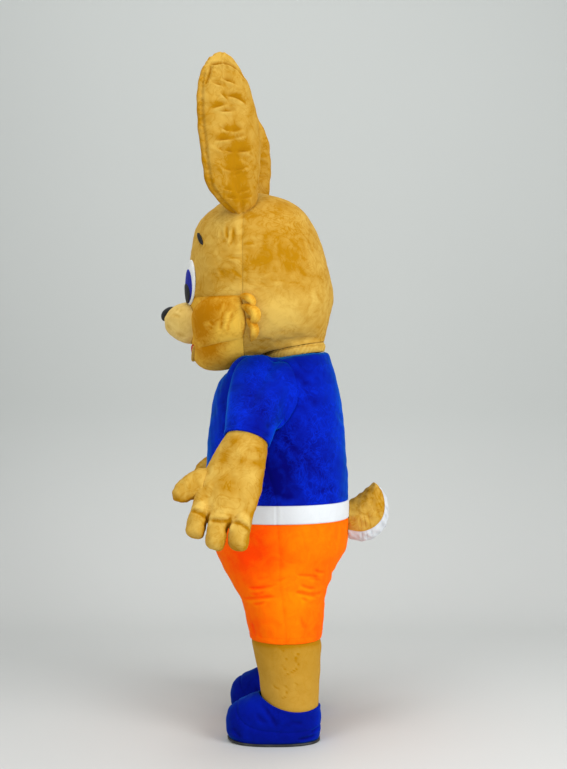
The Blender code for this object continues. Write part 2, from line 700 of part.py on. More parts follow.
def make_shorts():
    rows = np.array([0, 1, 2, 3, 4, 5, 6, 6.6, 7, 8.3, 9.6, 11.0])[:, None]
    past = crotch_turn(rows)
    part = np.linspace(0, 1, 9)[None]
    for name, side in (("left", 1), ("right", -1)):
        keep = between(0, BELT_BOTTOM, left=True)
        turn = -past + (90 + past) * part
        panel(f"shorts_front_{name}", SHORTS, rows, turn, PLUSH, ORANGE, "first last", keep, side=side)
        turn = 90 + (90 + past) * part
        panel(f"shorts_back_{name}", SHORTS, rows, turn, PLUSH, ORANGE, "first last", keep, side=side)


# Legs: tubes sewn inside the hems of the shorts and tucked into the shoes

LEG = Rings(
    table(
        "front_y front_h back_y back_h half_width side_h centre_x",
        (-0.1220, 0.402, 0.1380, 0.402, 0.1285, 0.402, 0.1510),
        (-0.1158, 0.364, 0.1330, 0.364, 0.1250, 0.364, 0.1515),
        (-0.1130, 0.335, 0.1375, 0.335, 0.1210, 0.335, 0.1540),
        (-0.1050, 0.300, 0.1350, 0.300, 0.1140, 0.300, 0.1590),
        (-0.0930, 0.250, 0.1320, 0.250, 0.1060, 0.250, 0.1650),
        (-0.0850, 0.200, 0.1290, 0.200, 0.1000, 0.200, 0.1700),
        (-0.0790, 0.155, 0.1275, 0.155, 0.0955, 0.155, 0.1735),
        (-0.0760, 0.120, 0.1250, 0.120, 0.0920, 0.120, 0.1755),
        (-0.0680, 0.085, 0.1170, 0.085, 0.0840, 0.085, 0.1765),
    )
)


def make_legs():
    for name, side in (("left", 1), ("right", -1)):
        tube(f"leg_{name}", LEG, np.array([0, 1, 2, 3, 5, 7, 8.0]), 16, PLUSH, TAN, side=side)


# Shoes: plush slip-ons, an upper vamp and a lower band over a thin rubber sole

SHOE = Rings(
    table(
        "front_y front_h back_y back_h half_width side_h squareness centre_x",
        (-0.0865, 0.1680, 0.1312, 0.1265, 0.0998, 0.1255, 2.0, 0.1760),
        (-0.1050, 0.1650, 0.1325, 0.1170, 0.1004, 0.1160, 2.0, 0.1765),
        (-0.1400, 0.1510, 0.1335, 0.1060, 0.1000, 0.1040, 2.1, 0.1770),
        (-0.1760, 0.1310, 0.1340, 0.0940, 0.0998, 0.0900, 2.2, 0.1770),
        (-0.1990, 0.1040, 0.1345, 0.0780, 0.0992, 0.0720, 2.3, 0.1770),
        (-0.2070, 0.0700, 0.1345, 0.0540, 0.0985, 0.0500, 2.4, 0.1770),
        (-0.2060, 0.0380, 0.1330, 0.0300, 0.0970, 0.0280, 2.4, 0.1770),
        (-0.1990, 0.0160, 0.1290, 0.0094, 0.0930, 0.0094, 2.4, 0.1770),
    )
)
TOE_SPRING = 0.0066


def shoe_seam_row(turn):
    """The row of the seam between the vamp and the band: low round the sides, high over the toe."""
    return 4.9 - 2.2 * ((1 + np.cos(np.radians(turn))) / 2) ** 5


def sole_lift(y):
    """How far the toe turns up from the floor."""
    part = np.clip((-0.110 - y) / 0.090, 0, 1)
    return TOE_SPRING * part**2


def shoe_grid(start, end, steps, turn, lift):
    part = np.linspace(0, 1, steps)[:, None]
    rows = start + (end - start) * part
    return SHOE.offset(*np.broadcast_arrays(rows, turn), lift)


def make_shoes():
    columns = 16
    turn = np.arange(columns)[None] * 360 / columns
    seam = shoe_seam_row(turn)
    for name, side in (("left", 1), ("right", -1)):
        for piece, start, end, steps, border in (
            ("vamp", 0 * seam, seam, 5, "bottom"),
            ("band", seam, 7 + 0 * seam, 4, "top"),
        ):
            made = [hold_back(shoe_grid(start, end, steps, turn, lift), border) for lift in (0, -SHOE_WALL)]
            if piece == "band":
                for skin in made:
                    floor = SOLE_THICKNESS + SEAM_GAP + sole_lift(skin[-1, :, 1])
                    skin[-1, :, 2] = floor
            wall(f"shoe_{piece}_{name}", *made, grid_faces(steps, columns, closed=True), NAVY, side)
        make_sole(name, side)


def make_sole(name, side):
    """A slab cut to the shoe's outline, flat under the foot and turned up at the toe."""
    turn = np.linspace(0, 180, 13)
    outline = SHOE.offset(np.full(13, 7.0), turn, np.full(13, 0.003))
    y = outline[:, 1]
    half = outline[:, 0] - 0.1770
    lift = sole_lift(y)
    points = []
    for height in (SOLE_THICKNESS, 0.0):
        for sign in (1, -1):
            points.append(np.stack([0.1770 + sign * half, y, height + lift], -1))
    top = np.stack(points[:2], 1)
    bottom = np.stack(points[2:], 1)
    wall(f"sole_{name}", top, bottom, grid_faces(13, 2), RUBBER, side)


# Gloves: a back and a palm sewn together round three fingers, and a set-in thumb

PALM = table(
    "along rear fore half_thickness fingers flatness",
    (-0.016, -0.0715, 0.0715, 0.0715, 0.0, 1.00),
    (0.003, -0.0735, 0.0735, 0.0735, 0.0, 1.00),
    (0.045, -0.0830, 0.0880, 0.0730, 0.0, 0.95),
    (0.100, -0.0880, 0.1000, 0.0630, 0.05, 0.90),
    (0.160, -0.0930, 0.1120, 0.0530, 0.15, 0.80),
    (0.235, -0.0905, 0.1180, 0.0450, 0.45, 0.75),
    (0.300, -0.0925, 0.1220, 0.0380, 1.0, 0.75),
)
FINGERS = table(
    "rear fore tip_along tip_across half_thickness",
    (-0.0925, -0.0190, 0.388, -0.064, 0.034),
    (-0.0190, 0.0540, 0.404, 0.009, 0.036),
    (0.0540, 0.1220, 0.381, 0.083, 0.034),
)
FINGER_LINES = table(
    "part width thickness",
    (0.35, 0.95, 1.00),
    (0.66, 0.88, 0.90),
    (0.88, 0.66, 0.62),
    (1.00, 0.28, 0.00),
)
FINGER_COLUMNS = 4
THUMB = table(
    "along across half_length half_thickness turned",
    (0.187, 0.098, 0.058, 0.033, 0.00),
    (0.198, 0.128, 0.052, 0.034, 0.40),
    (0.222, 0.152, 0.042, 0.032, 0.85),
    (0.243, 0.170, 0.034, 0.027, 1.00),
    (0.257, 0.183, 0.020, 0.016, 1.00),
)
THUMB_TIP = (0.263, 0.1895)
THUMB_WAY = np.array([0.64, 0.77])


def hand(along, across, out):
    """A place on the left hand: along the arm from the cuff, across to the thumb, out from its back."""
    return (
        CUFF_CENTRE
        + np.asarray(along)[..., None] * ARM
        + np.asarray(across)[..., None] * HAND_ACROSS
        + np.asarray(out)[..., None] * HAND_OUT
    )


def section(spot, rear, fore, half_thickness, flatness):
    """A half oval between two edges; spot runs from -1 at the little finger's side to 1."""
    across = (rear + fore) / 2 + (fore - rear) / 2 * np.sin(np.pi * spot / 2)
    return across, half_thickness * np.maximum(np.cos(np.pi * spot / 2), 0) ** flatness


def glove_half():
    """Outer points of one half in the hand's own sizes, their outward directions, and their faces."""
    columns = 3 * FINGER_COLUMNS + 1
    spot = np.linspace(-1, 1, columns)
    own = np.tile(np.linspace(-1, 1, FINGER_COLUMNS + 1)[:-1], 3)
    own = np.append(own, 1.0)
    finger = np.minimum(np.arange(columns) // FINGER_COLUMNS, 2)
    lines = []
    for along, rear, fore, thick, share, flat in zip(*PALM.values()):
        whole = section(spot, rear, fore, thick, flat)
        scale = (fore - rear) / (FINGERS["fore"][-1] - FINGERS["rear"][0])
        shift = (fore + rear) / 2 - scale * (FINGERS["fore"][-1] + FINGERS["rear"][0]) / 2
        own_rear, own_fore = (FINGERS[edge][finger] * scale + shift for edge in ("rear", "fore"))
        apart = section(own, own_rear, own_fore, thick, 0.7)
        across = (1 - share) * whole[0] + share * apart[0]
        out = (1 - share) * whole[1] + share * apart[1]
        lines.append(np.stack([np.full(columns, along), across, out], -1))
    points = np.concatenate(lines)
    faces = grid_faces(len(lines), columns)
    knuckles = (len(lines) - 1) * columns
    for number, (rear, fore, tip_along, tip_across, thick) in enumerate(zip(*FINGERS.values())):
        before = [knuckles + number * FINGER_COLUMNS + k for k in range(FINGER_COLUMNS + 1)]
        for part, width, thickness in zip(*FINGER_LINES.values()):
            middle = (rear + fore) / 2 * (1 - part) + tip_across * part
            half = (fore - rear) / 2 * width
            across, out = section(
                np.linspace(-1, 1, FINGER_COLUMNS + 1), middle - half, middle + half, thick * thickness, 0.7
            )
            along = PALM["along"][-1] + (tip_along - PALM["along"][-1]) * part
            line = np.stack([np.full(FINGER_COLUMNS + 1, along), across, out], -1)
            after = [len(points) + k for k in range(FINGER_COLUMNS + 1)]
            points = np.concatenate([points, line])
            faces += [(before[k], after[k], after[k + 1], before[k + 1]) for k in range(FINGER_COLUMNS)]
            before = after
    halves = [half for a, b, c, d in faces for half in ((a, b, c), (a, c, d))]
    return points, outward(points, halves, knuckles), halves


def outward(points, faces, knuckles):
    """Each point's direction out, kept level along the seam and pointing down the fork of two fingers."""
    total = np.zeros_like(points)
    corners = points[np.array(faces)]
    across = np.cross(corners[:, 1] - corners[:, 0], corners[:, 2] - corners[:, 0])
    np.add.at(total, np.array(faces), across[:, None])
    edge = points[:, 2] < 1e-6
    total[edge, 2] = 0
    for fork in (1, 2):
        total[knuckles + fork * FINGER_COLUMNS] = (1, 0, 0)
    return total / np.maximum(np.linalg.norm(total, axis=1, keepdims=True), 1e-12)


def thumb_ring(row, angle, inset):
    """A ring round the thumb; the first one lies on the edge of the palm."""
    along, across, length, thick, turned = (THUMB[name][row] for name in THUMB)
    length, thick = length - inset, thick - inset
    way = np.array([0, 1.0]) * (1 - turned) + THUMB_WAY * turned
    way = way / np.linalg.norm(way)
    beside = np.array([way[1], -way[0]])
    out = thick * np.sin(angle)
    place_along = along + beside[0] * length * np.cos(angle)
    place_across = across + beside[1] * length * np.cos(angle)
    return np.stack([place_along, place_across, out], -1)


def make_hand_cutter(points, directions, faces):
    """The whole outer form of a glove's hand, which seats the thumb on its side."""
    own = points + directions * SEAM_GAP
    count = len(own)
    skins_of_both = [hand(own[:, 0], own[:, 1], face * np.maximum(own[:, 2], 0)) for face in (1, -1)]
    columns = 3 * FINGER_COLUMNS + 1
    cuff = tuple(range(columns)) + tuple(count + column for column in range(columns - 2, 0, -1))
    both = [face[::-1] for face in faces] + [tuple(corner + count for corner in face) for face in faces]
    cutter = add_mesh("hand_cutter", np.concatenate(skins_of_both), both + [cuff], TAN, collection=cutters)
    cutter.hide_render = True
    cutter.display_type = "WIRE"
    return cutter


def make_gloves():
    points, directions, faces = glove_half()
    cutter = make_hand_cutter(points, directions, faces)
    for name, side in (("left", 1), ("right", -1)):
        for piece, face in (("back", 1), ("palm", -1)):
            made = []
            for inset in (0, GLOVE_WALL):
                own = points - directions * inset
                made.append(hand(own[:, 0], own[:, 1], face * (np.maximum(own[:, 2], 0) + SEAM_GAP / 2)))
            wall(f"glove_{piece}_{name}", *made, [quad[::-face] for quad in faces], TAN, side)
        make_thumb(name, side, cutter)


def make_thumb(name, side, cutter):
    columns = 12
    angle = (np.arange(columns) + 0.5) * 2 * np.pi / columns
    made = []
    for inset in (0, GLOVE_WALL):
        rings = [thumb_ring(row, angle, inset) for row in range(len(THUMB["along"]))]
        tip = np.array([THUMB_TIP[0], THUMB_TIP[1], 0]) - np.append(THUMB_WAY, 0) * inset
        rings.append(np.tile(tip, (columns, 1)))
        own = np.stack(rings)
        if inset:
            own[-2, :, :2] -= THUMB_WAY * inset * 0.5
        made.append(hand(own[..., 0], own[..., 1], own[..., 2]))
    thumb = wall(f"glove_thumb_{name}", *made, polar_faces(len(rings), columns, closed=True), TAN, side)
    cut(thumb, cutter if side == 1 else mirrored(cutter))


# Tail: stuffed, curled up, tan above and white below

TAIL = table(
    "inner_y inner_h outer_y outer_h half_width",
    (0.215, 0.815, 0.215, 0.716, 0.050),
    (0.247, 0.836, 0.247, 0.7015, 0.056),
    (0.270, 0.851, 0.290, 0.6906, 0.066),
    (0.290, 0.864, 0.3226, 0.6955, 0.070),
    (0.305, 0.876, 0.3572, 0.7146, 0.070),
    (0.318, 0.888, 0.3858, 0.7530, 0.065),
    (0.329, 0.898, 0.3926, 0.8086, 0.053),
    (0.3375, 0.905, 0.3779, 0.8680, 0.031),
    (0.3410, 0.9085, 0.3480, 0.9000, 0.008),
)
TAIL_SEAM_TURN = 120.0
SHORTS_HIPS = Rings(
    table(
        "front_y front_h back_y back_h half_width side_h squareness",
        (-0.2890, 0.8600, 0.2450, 0.8600, 0.2820, 0.8600, 2.2),
        (-0.2890, 0.8490, 0.2450, 0.8490, 0.2820, 0.8490, 2.2),
        (-0.2895, 0.8160, 0.2455, 0.8160, 0.2825, 0.8160, 2.2),
        (-0.2870, 0.7830, 0.2450, 0.7830, 0.2810, 0.7830, 2.2),
        (-0.2845, 0.7800, 0.2432, 0.7800, 0.2790, 0.7800, 2.2),
        (-0.2810, 0.7400, 0.2420, 0.7400, 0.2790, 0.7400, 2.2),
        (-0.2700, 0.7000, 0.2395, 0.7000, 0.2780, 0.7000, 2.2),
        (-0.2530, 0.6600, 0.2290, 0.6600, 0.2760, 0.6600, 2.2),
    )
)


def tail_point(row, turn):
    """A point of the tail; turn runs from its upper, inner line round to its lower, outer one."""
    at = {name: read(column, row) for name, column in TAIL.items()}
    turn = np.radians(turn)
    part = (1 - np.cos(turn)) / 2
    y = at["inner_y"] + (at["outer_y"] - at["inner_y"]) * part
    z = at["inner_h"] + (at["outer_h"] - at["inner_h"]) * part
    return np.stack([at["half_width"] * np.sin(turn), y, z], -1)


def make_tail():
    body = closed_skin("hips_cutter", SHORTS_HIPS, np.arange(SHORTS_HIPS.last + 1.0), 56, 0.0008)
    row = np.arange(9.0)[:, None]
    for name, start, end, steps, material in (
        ("tail_top", -TAIL_SEAM_TURN, TAIL_SEAM_TURN, 11, TAN),
        ("tail_underside", TAIL_SEAM_TURN, 360 - TAIL_SEAM_TURN, 8, WHITE),
    ):
        turn = np.linspace(start, end, steps)[None]
        skin = tail_point(*np.broadcast_arrays(row, turn))
        part = np.linspace(0, 1, steps)[None, :, None]
        chord = skin[:, :1] * (1 - part) + skin[:, -1:] * part
        away = skin.mean(axis=1, keepdims=True) - chord.mean(axis=1, keepdims=True)
        away = away / np.linalg.norm(away, axis=-1, keepdims=True)
        tail = wall(name, skin + away * 0.002, chord + away * SEAM_GAP / 2, polar_faces(9, steps), material)
        cut(tail, body)


make_head()
tube("neck_band", BAND, np.arange(3.0), 22, 0.008, TAN)
make_eyes()
make_cheeks()
make_muzzle()
make_nose()
make_mouth()
make_ears()
make_shirt()
make_sleeves()
make_belt()
make_shorts()
make_legs()
make_shoes()
make_gloves()
make_tail()
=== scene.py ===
import bmesh
import bpy
import numpy as np
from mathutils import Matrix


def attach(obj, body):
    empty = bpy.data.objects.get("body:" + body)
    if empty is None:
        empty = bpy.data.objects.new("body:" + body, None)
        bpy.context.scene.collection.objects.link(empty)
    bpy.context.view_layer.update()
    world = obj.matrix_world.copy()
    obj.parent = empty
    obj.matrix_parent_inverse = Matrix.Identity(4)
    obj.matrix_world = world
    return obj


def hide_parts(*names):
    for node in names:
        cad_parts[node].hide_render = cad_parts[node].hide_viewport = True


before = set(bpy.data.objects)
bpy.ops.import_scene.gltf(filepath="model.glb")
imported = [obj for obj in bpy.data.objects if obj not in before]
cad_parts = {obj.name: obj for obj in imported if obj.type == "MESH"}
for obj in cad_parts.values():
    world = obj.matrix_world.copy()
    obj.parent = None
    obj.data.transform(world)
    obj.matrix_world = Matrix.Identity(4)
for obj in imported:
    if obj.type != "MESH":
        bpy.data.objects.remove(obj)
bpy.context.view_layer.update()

# Camera and studio
# The costume stands side on, seen from its left at chest height, in a plain pale studio whose
# floor meets the back wall in a curve.
FLOOR = -1.35
CAMERA_DISTANCE = 4.2
CAMERA_HEIGHT = -0.074
COVE = {"front": 7.0, "depth": 8.6, "curve": 1.2, "wall": 5.0, "half_width": 7.0}
PAINTED_SHADE_RISE = 1.1


def placed(name, data):
    """A new object in the scene that shows the given data."""
    thing = bpy.data.objects.new(name, data)
    bpy.context.scene.collection.objects.link(thing)
    return thing


lens = bpy.data.cameras.new("camera")
lens.lens = 52.3
lens.sensor_width = 36.0
lens.clip_end = 60.0
camera = placed("camera", lens)
camera.location = (CAMERA_DISTANCE, 0.0, CAMERA_HEIGHT)
camera.rotation_euler = (np.radians(90), 0.0, np.radians(90))
bpy.context.scene.camera = camera
bpy.context.scene.view_settings.view_transform = "Standard"


def studio_cove(part, across):
    """A floor that runs back to a quarter circle and then up as a wall.

    part runs 0 to 3, one unit for each of floor, curve and wall; across runs -1 to 1.
    """
    floor, curve, wall = (np.clip(part - k, 0, 1) for k in range(3))
    x = COVE["front"] - COVE["depth"] * floor - COVE["curve"] * np.sin(np.pi / 2 * curve)
    z = FLOOR + COVE["curve"] * (1 - np.cos(np.pi / 2 * curve)) + COVE["wall"] * wall
    return np.stack([x, COVE["half_width"] * across, z], -1)


part, across = np.meshgrid(np.linspace(0, 3, 46), np.linspace(-1, 1, 3), indexing="ij")
cove_points = studio_cove(part, across)
index = np.arange(part.size).reshape(part.shape)
cove_faces = np.stack([index[:-1, :-1], index[:-1, 1:], index[1:, 1:], index[1:, :-1]], -1).reshape(-1, 4)
cove_mesh = bpy.data.meshes.new("studio")
cove_mesh.from_pydata(cove_points.reshape(-1, 3).tolist(), [], cove_faces.tolist())
cove_mesh.shade_smooth()
cove = placed("studio", cove_mesh)


def feed(tree, node, inputs):
    """Give a node its inputs: a value is set, and another node's output is linked."""
    for key, value in inputs.items():
        if isinstance(value, bpy.types.NodeSocket):
            tree.links.new(value, node.inputs[key])
        else:
            node.inputs[key].default_value = value
    return node


def add_node(tree, kind, inputs=None, **settings):
    """A new node with its settings, and with its inputs given by name or by number."""
    node = tree.nodes.new(kind)
    for setting, value in settings.items():
        setattr(node, setting, value)
    return feed(tree, node, inputs or {})


def combine(tree, operation, *values, clamp=False):
    """The result of an operation on up to three values, each a number or another node's output."""
    inputs = dict(enumerate(values))
    return add_node(tree, "ShaderNodeMath", inputs, operation=operation, use_clamp=clamp).outputs[0]


def two_tones(tree, share, dark, light, low=0.0, high=1.0):
    """A colour that goes from a dark to a light tone as the share goes from low to high."""
    ramp = add_node(tree, "ShaderNodeValToRGB", {"Fac": share})
    ends = ramp.color_ramp.elements
    ends[0].position, ends[1].position = low, high
    ends[0].color, ends[1].color = (*dark, 1), (*light, 1)
    return ramp.outputs["Color"]


def new_material(name):
    """A new material, its node tree and its shader."""
    material = bpy.data.materials.new(name)
    material.use_nodes = True
    return material, material.node_tree, material.node_tree.nodes["Principled BSDF"]


paper, tree, shader = new_material("studio_paper")
place = add_node(tree, "ShaderNodeTexCoord")
split = add_node(tree, "ShaderNodeSeparateXYZ", {"Vector": place.outputs["Object"]})
# Painted shade: the paper is lighter on the floor and turns darker up the wall.
limits = {"Value": split.outputs["Z"], "From Min": FLOOR, "From Max": FLOOR + PAINTED_SHADE_RISE}
height = add_node(tree, "ShaderNodeMapRange", limits)
behind = add_node(tree, "ShaderNodeNewGeometry").outputs["Backfacing"]
paper_looks = {
    "Base Color": two_tones(tree, height.outputs[0], (0.62, 0.63, 0.615), (0.54, 0.56, 0.545)),
    "Alpha": combine(tree, "SUBTRACT", 1.0, behind),
    "Roughness": 0.9,
    "Specular IOR Level": 0.2,
}
feed(tree, shader, paper_looks)
cove_mesh.materials.append(paper)

world = bpy.data.worlds.new("studio_air")
world.use_nodes = True
feed(world.node_tree, world.node_tree.nodes["Background"], {"Color": (0.97, 0.99, 1.0, 1), "Strength": 0.50})
bpy.context.scene.world = world


def unit(ways):
    """The same directions, each made one unit long."""
    return ways / np.maximum(np.linalg.norm(ways, axis=-1, keepdims=True), 1e-12)


for name, place, aim, size, watts in (
    ("key", (2.6, 2.9, 1.1), (0, 0, 0.0), 2.2, 98),
    ("fill", (3.6, -2.9, 0.9), (0, 0, 0.0), 2.6, 60),
    ("top", (0.9, -0.5, 4.4), (0, 0, 0), 2.6, 105),
    ("bounce", (2.6, 1.9, -1.0), (0, 0, 0.4), 1.0, 24),
):
    lamp = bpy.data.lights.new(name, "AREA")
    lamp.shape = "DISK"
    lamp.size = size
    lamp.energy = watts
    light = placed(name, lamp)
    way = unit(np.array(place, float) - np.array(aim, float))
    light.location = place
    light.rotation_euler = (np.arccos(way[2]), 0.0, np.arctan2(way[1], way[0]) + np.pi / 2)

# Head
# A shell of foam covered in short-napped tan plush. A face panel and two backs meet in a seam over
# the crown and down behind the cheeks, and an ochre jaw is sewn under the face.


def table(columns, *rows):
    """A short table as one array for each named column."""
    return dict(zip(columns.split(), np.array(rows, float).T))


def read(column, row, pole=False):
    """A column at any row, on a smooth cubic through its values; level at row 0 where a pole is there."""
    row = np.clip(np.asarray(row, float), 0, len(column) - 1)
    low = np.minimum(row.astype(int), len(column) - 2)
    part = row - low
    first = column[1] if pole else 2 * column[0] - column[1]
    padded = np.concatenate([[first], column, [2 * column[-1] - column[-2]]])
    a, b, c, d = (padded[low + k] for k in range(4))
    return b + part / 2 * (c - a + part * (2 * a - 5 * b + 4 * c - d + part * (3 * (b - c) + d - a)))


def ring_point(rings, row, turn, pole=False):
    """A point of a form lofted through rings; turn is 0 at the front, 90 at +X and 180 at the back.

    Cosine and sine to the power 2 over squareness set the place between the ring's foremost and
    rearmost point and out to its half width, and its height bends towards its sides' height. A
    shoulder column lifts the form by that much between 15 and 74 degrees from the front.
    """
    row, turn = np.broadcast_arrays(np.asarray(row, float), np.asarray(turn, float))
    ring = {name: read(column, row, pole and name.endswith("_h")) for name, column in rings.items()}
    power = 2 / ring.get("squareness", 2.0)
    angle = np.radians(turn)
    forward = np.sign(np.cos(angle)) * np.abs(np.cos(angle)) ** power
    sideways = np.sign(np.sin(angle)) * np.abs(np.sin(angle)) ** power
    middle_h = (ring["front_h"] + ring["back_h"]) / 2
    x = ring.get("centre_x", 0.0) + ring["half_width"] * sideways
    y = (ring["front_y"] + ring["back_y"]) / 2 + (ring["front_y"] - ring["back_y"]) / 2 * forward
    z = middle_h + (ring["front_h"] - ring["back_h"]) / 2 * forward
    z = z + (ring["side_h"] - middle_h) * sideways**2
    window = np.clip((np.abs(turn) - 15) / 27, 0, 1) * np.clip((74 - np.abs(turn)) / 12, 0, 1)
    z = z + ring.get("shoulder", 0.0) * window**2 * (3 - 2 * window)
    return np.stack([x, y, z + FLOOR], -1)


def ring_normal(rings, row, turn, pole=False):
    """The way out of a form: the cross product of short steps down it and round it."""
    last = len(rings["front_y"]) - 1
    row = np.clip(row, 0.03, last - 0.03)
    down = ring_point(rings, row + 0.02, turn, pole) - ring_point(rings, row - 0.02, turn, pole)
    along = ring_point(rings, row, turn + 0.5, pole) - ring_point(rings, row, turn - 0.5, pole)
    return unit(np.cross(down, along))


def all_round(rows, columns):
    """A grid of rows by turns, with so many turns spread evenly all the way round."""
    return np.broadcast_arrays(rows[:, None], (np.arange(columns) * 360 / columns)[None])


def from_border(points, borders):
    """How far each point of a grid lies from the named borders, measured along its rows and columns."""
    far = np.full(points.shape[:2], 1.0)
    down = np.linalg.norm(np.diff(points, axis=0), axis=-1)
    down = np.concatenate([np.zeros((1, points.shape[1])), np.cumsum(down, 0)])
    along = np.linalg.norm(np.diff(points, axis=1), axis=-1)
    along = np.concatenate([np.zeros((points.shape[0], 1)), np.cumsum(along, 1)], 1)
    reach = {"top": down, "bottom": down[-1:] - down, "first": along, "last": along[:, -1:] - along}
    for border in borders.split():
        far = np.minimum(far, reach[border])
    return far


def seam(far, depth=0.0035, width=0.006):
    """The dip beside a seam: deepest on it and gone a few widths away."""
    return depth * np.exp(-((far / width) ** 1.5))


def bell(away, width):
    """A bell: 1 where away is 0, a third at the width and nearly nothing at twice the width."""
    return np.exp(-((away / width) ** 2))


FOLD_COLUMNS = "along_0 height_0 along_1 height_1 depth width bow"


def beside_line(start, end, bow, along, height):
    """How far along a line a place lies, from 0 to 1, and how far beside it; bow bends its middle."""
    (a0, h0), step = start, np.subtract(end, start)
    length = np.hypot(*step)
    part = ((along - a0) * step[0] + (height - h0) * step[1]) / length**2
    aside = ((along - a0) * step[1] - (height - h0) * step[0]) / length
    return part, aside - bow * 4 * part * (1 - part)


def folds(lines, along, height):
    """Creases drawn on a surface: each is a trough from one end to the other with a ridge beside it.

    The distance beside its line gives a bell-shaped trough; a second, wider bell beside it is the
    ridge. Both fade towards the ends.
    """
    depth = np.zeros(np.broadcast(along, height).shape)
    for a0, h0, a1, h1, deep, wide, bow in zip(*lines.values()):
        part, aside = beside_line((a0, h0), (a1, h1), bow, along, height)
        fade = np.clip(np.minimum(part, 1 - part) * 3.2 + 0.25, 0, 1)
        fade = fade * fade * (3 - 2 * fade)
        wide = wide * (0.55 + 0.45 * fade)
        depth += deep * fade * (bell(aside, wide) - 0.55 * bell(aside - 2.1 * wide, 1.3 * wide))
    return depth


def swells(points, size, height):
    """Slow unevenness of stuffed cloth: two sets of waves, each two slanting waves multiplied."""
    x, y, z = np.moveaxis(points / size * 2 * np.pi, -1, 0)
    strong = np.sin(y + 0.7 * z + 0.4) * np.cos(1.3 * z - 0.6 * x)
    weak = 0.6 * np.sin(1.7 * x + 1.1 * z + 2.0) * np.cos(1.9 * y + 0.5)
    return height * (strong + weak)


SPOT_COLUMNS = "along height half_along half_height strength"


def nap_and_painted_light(spots, along, height):
    """Spots of nap and of painted light and shade: soft ovals that lighten (above 0) or darken the plush."""
    shade = np.zeros(np.broadcast(along, height).shape)
    for a, h, half_a, half_h, strength in zip(*spots.values()):
        reach = np.abs((along - a) / half_a) ** 2.4 + np.abs((height - h) / half_h) ** 2.4
        shade += strength * np.exp(-reach)
    return shade


def mark(mesh, shape, **marks):
    """Keep values on a mesh's first points, which are as many as the shape says; the rest get 0."""
    for name, values in marks.items():
        layer = mesh.attributes.new(name, "FLOAT", "POINT")
        if values is not None:
            first = np.broadcast_to(values, shape).ravel()
            whole = np.concatenate([first, np.zeros(len(mesh.vertices) - first.size)])
            layer.data.foreach_set("value", whole.astype(np.float32))


def weld(mesh):
    """Make one point of those that coincide, and take out edges that have no length."""
    work = bmesh.new()
    work.from_mesh(mesh)
    bmesh.ops.remove_doubles(work, verts=work.verts, dist=1e-6)
    bmesh.ops.dissolve_degenerate(work, edges=work.edges, dist=1e-7)
    work.to_mesh(mesh)
    work.free()


def cloth(name, outer, inner, material, closed=False, side=1, crease=None, nap=None, calm=None):
    """A wall of cloth between an outer and an inner grid of points, with a rim along each open edge.

    Without an inner grid the outer one is closed by itself. The painted shade of creases and seams,
    lighter on ridges, the nap with painted light and shade in places, and calm are kept on the
    points as attributes, for the colour of the plush.
    """
    rows, columns = outer.shape[:2]
    index = np.arange(rows * columns).reshape(rows, columns)
    if closed:
        index = np.concatenate([index, index[:, :1]], 1)
    front = np.stack([index[:-1, :-1], index[1:, :-1], index[1:, 1:], index[:-1, 1:]], -1).reshape(-1, 4)
    points, quads = outer.reshape(-1, 3) * (side, 1, 1), front
    if inner is not None:
        count = rows * columns
        edges = [(index[0, :-1], index[0, 1:]), (index[-1, 1:], index[-1, :-1])]
        if not closed:
            edges += [(index[1:, 0], index[:-1, 0]), (index[:-1, -1], index[1:, -1])]
        rims = [np.stack([a, b, b + count, a + count], -1) for a, b in edges]
        quads = np.concatenate([front, front[:, ::-1] + count, *rims])
        points = np.concatenate([points, inner.reshape(-1, 3) * (side, 1, 1)])
    if side == -1:
        quads = quads[:, ::-1]
    mesh = bpy.data.meshes.new(name)
    mesh.vertices.add(len(points))
    mesh.vertices.foreach_set("co", points.astype(np.float32).ravel())
    mesh.loops.add(quads.size)
    mesh.loops.foreach_set("vertex_index", quads.astype(np.int32).ravel())
    mesh.polygons.add(len(quads))
    mesh.polygons.foreach_set("loop_start", np.arange(0, quads.size, 4, dtype=np.int32))
    mesh.update(calc_edges=True)
    mark(mesh, outer.shape[:2], crease=crease, nap=nap, calm=calm)
    weld(mesh)
    mesh.shade_smooth()
    mesh.set_sharp_from_angle(angle=np.radians(65))
    mesh.materials.append(material)
    return placed(name, mesh)


def noise(tree, place, scale, detail, distortion=0.0):
    """Cloudy unevenness from 0 to 1, with so many clouds a metre."""
    inputs = {"Vector": place, "Scale": scale, "Detail": detail, "Distortion": distortion}
    return add_node(tree, "ShaderNodeTexNoise", inputs).outputs["Fac"]


def thin_lines(tree, clouds, width):
    """Lines along the middle level of clouds: 1 on the level, and 0 from the width on."""
    away = combine(tree, "ABSOLUTE", combine(tree, "SUBTRACT", clouds, 0.5))
    inputs = {"Value": away, "From Max": width, "To Min": 1.0, "To Max": 0.0}
    return add_node(tree, "ShaderNodeMapRange", inputs).outputs[0]


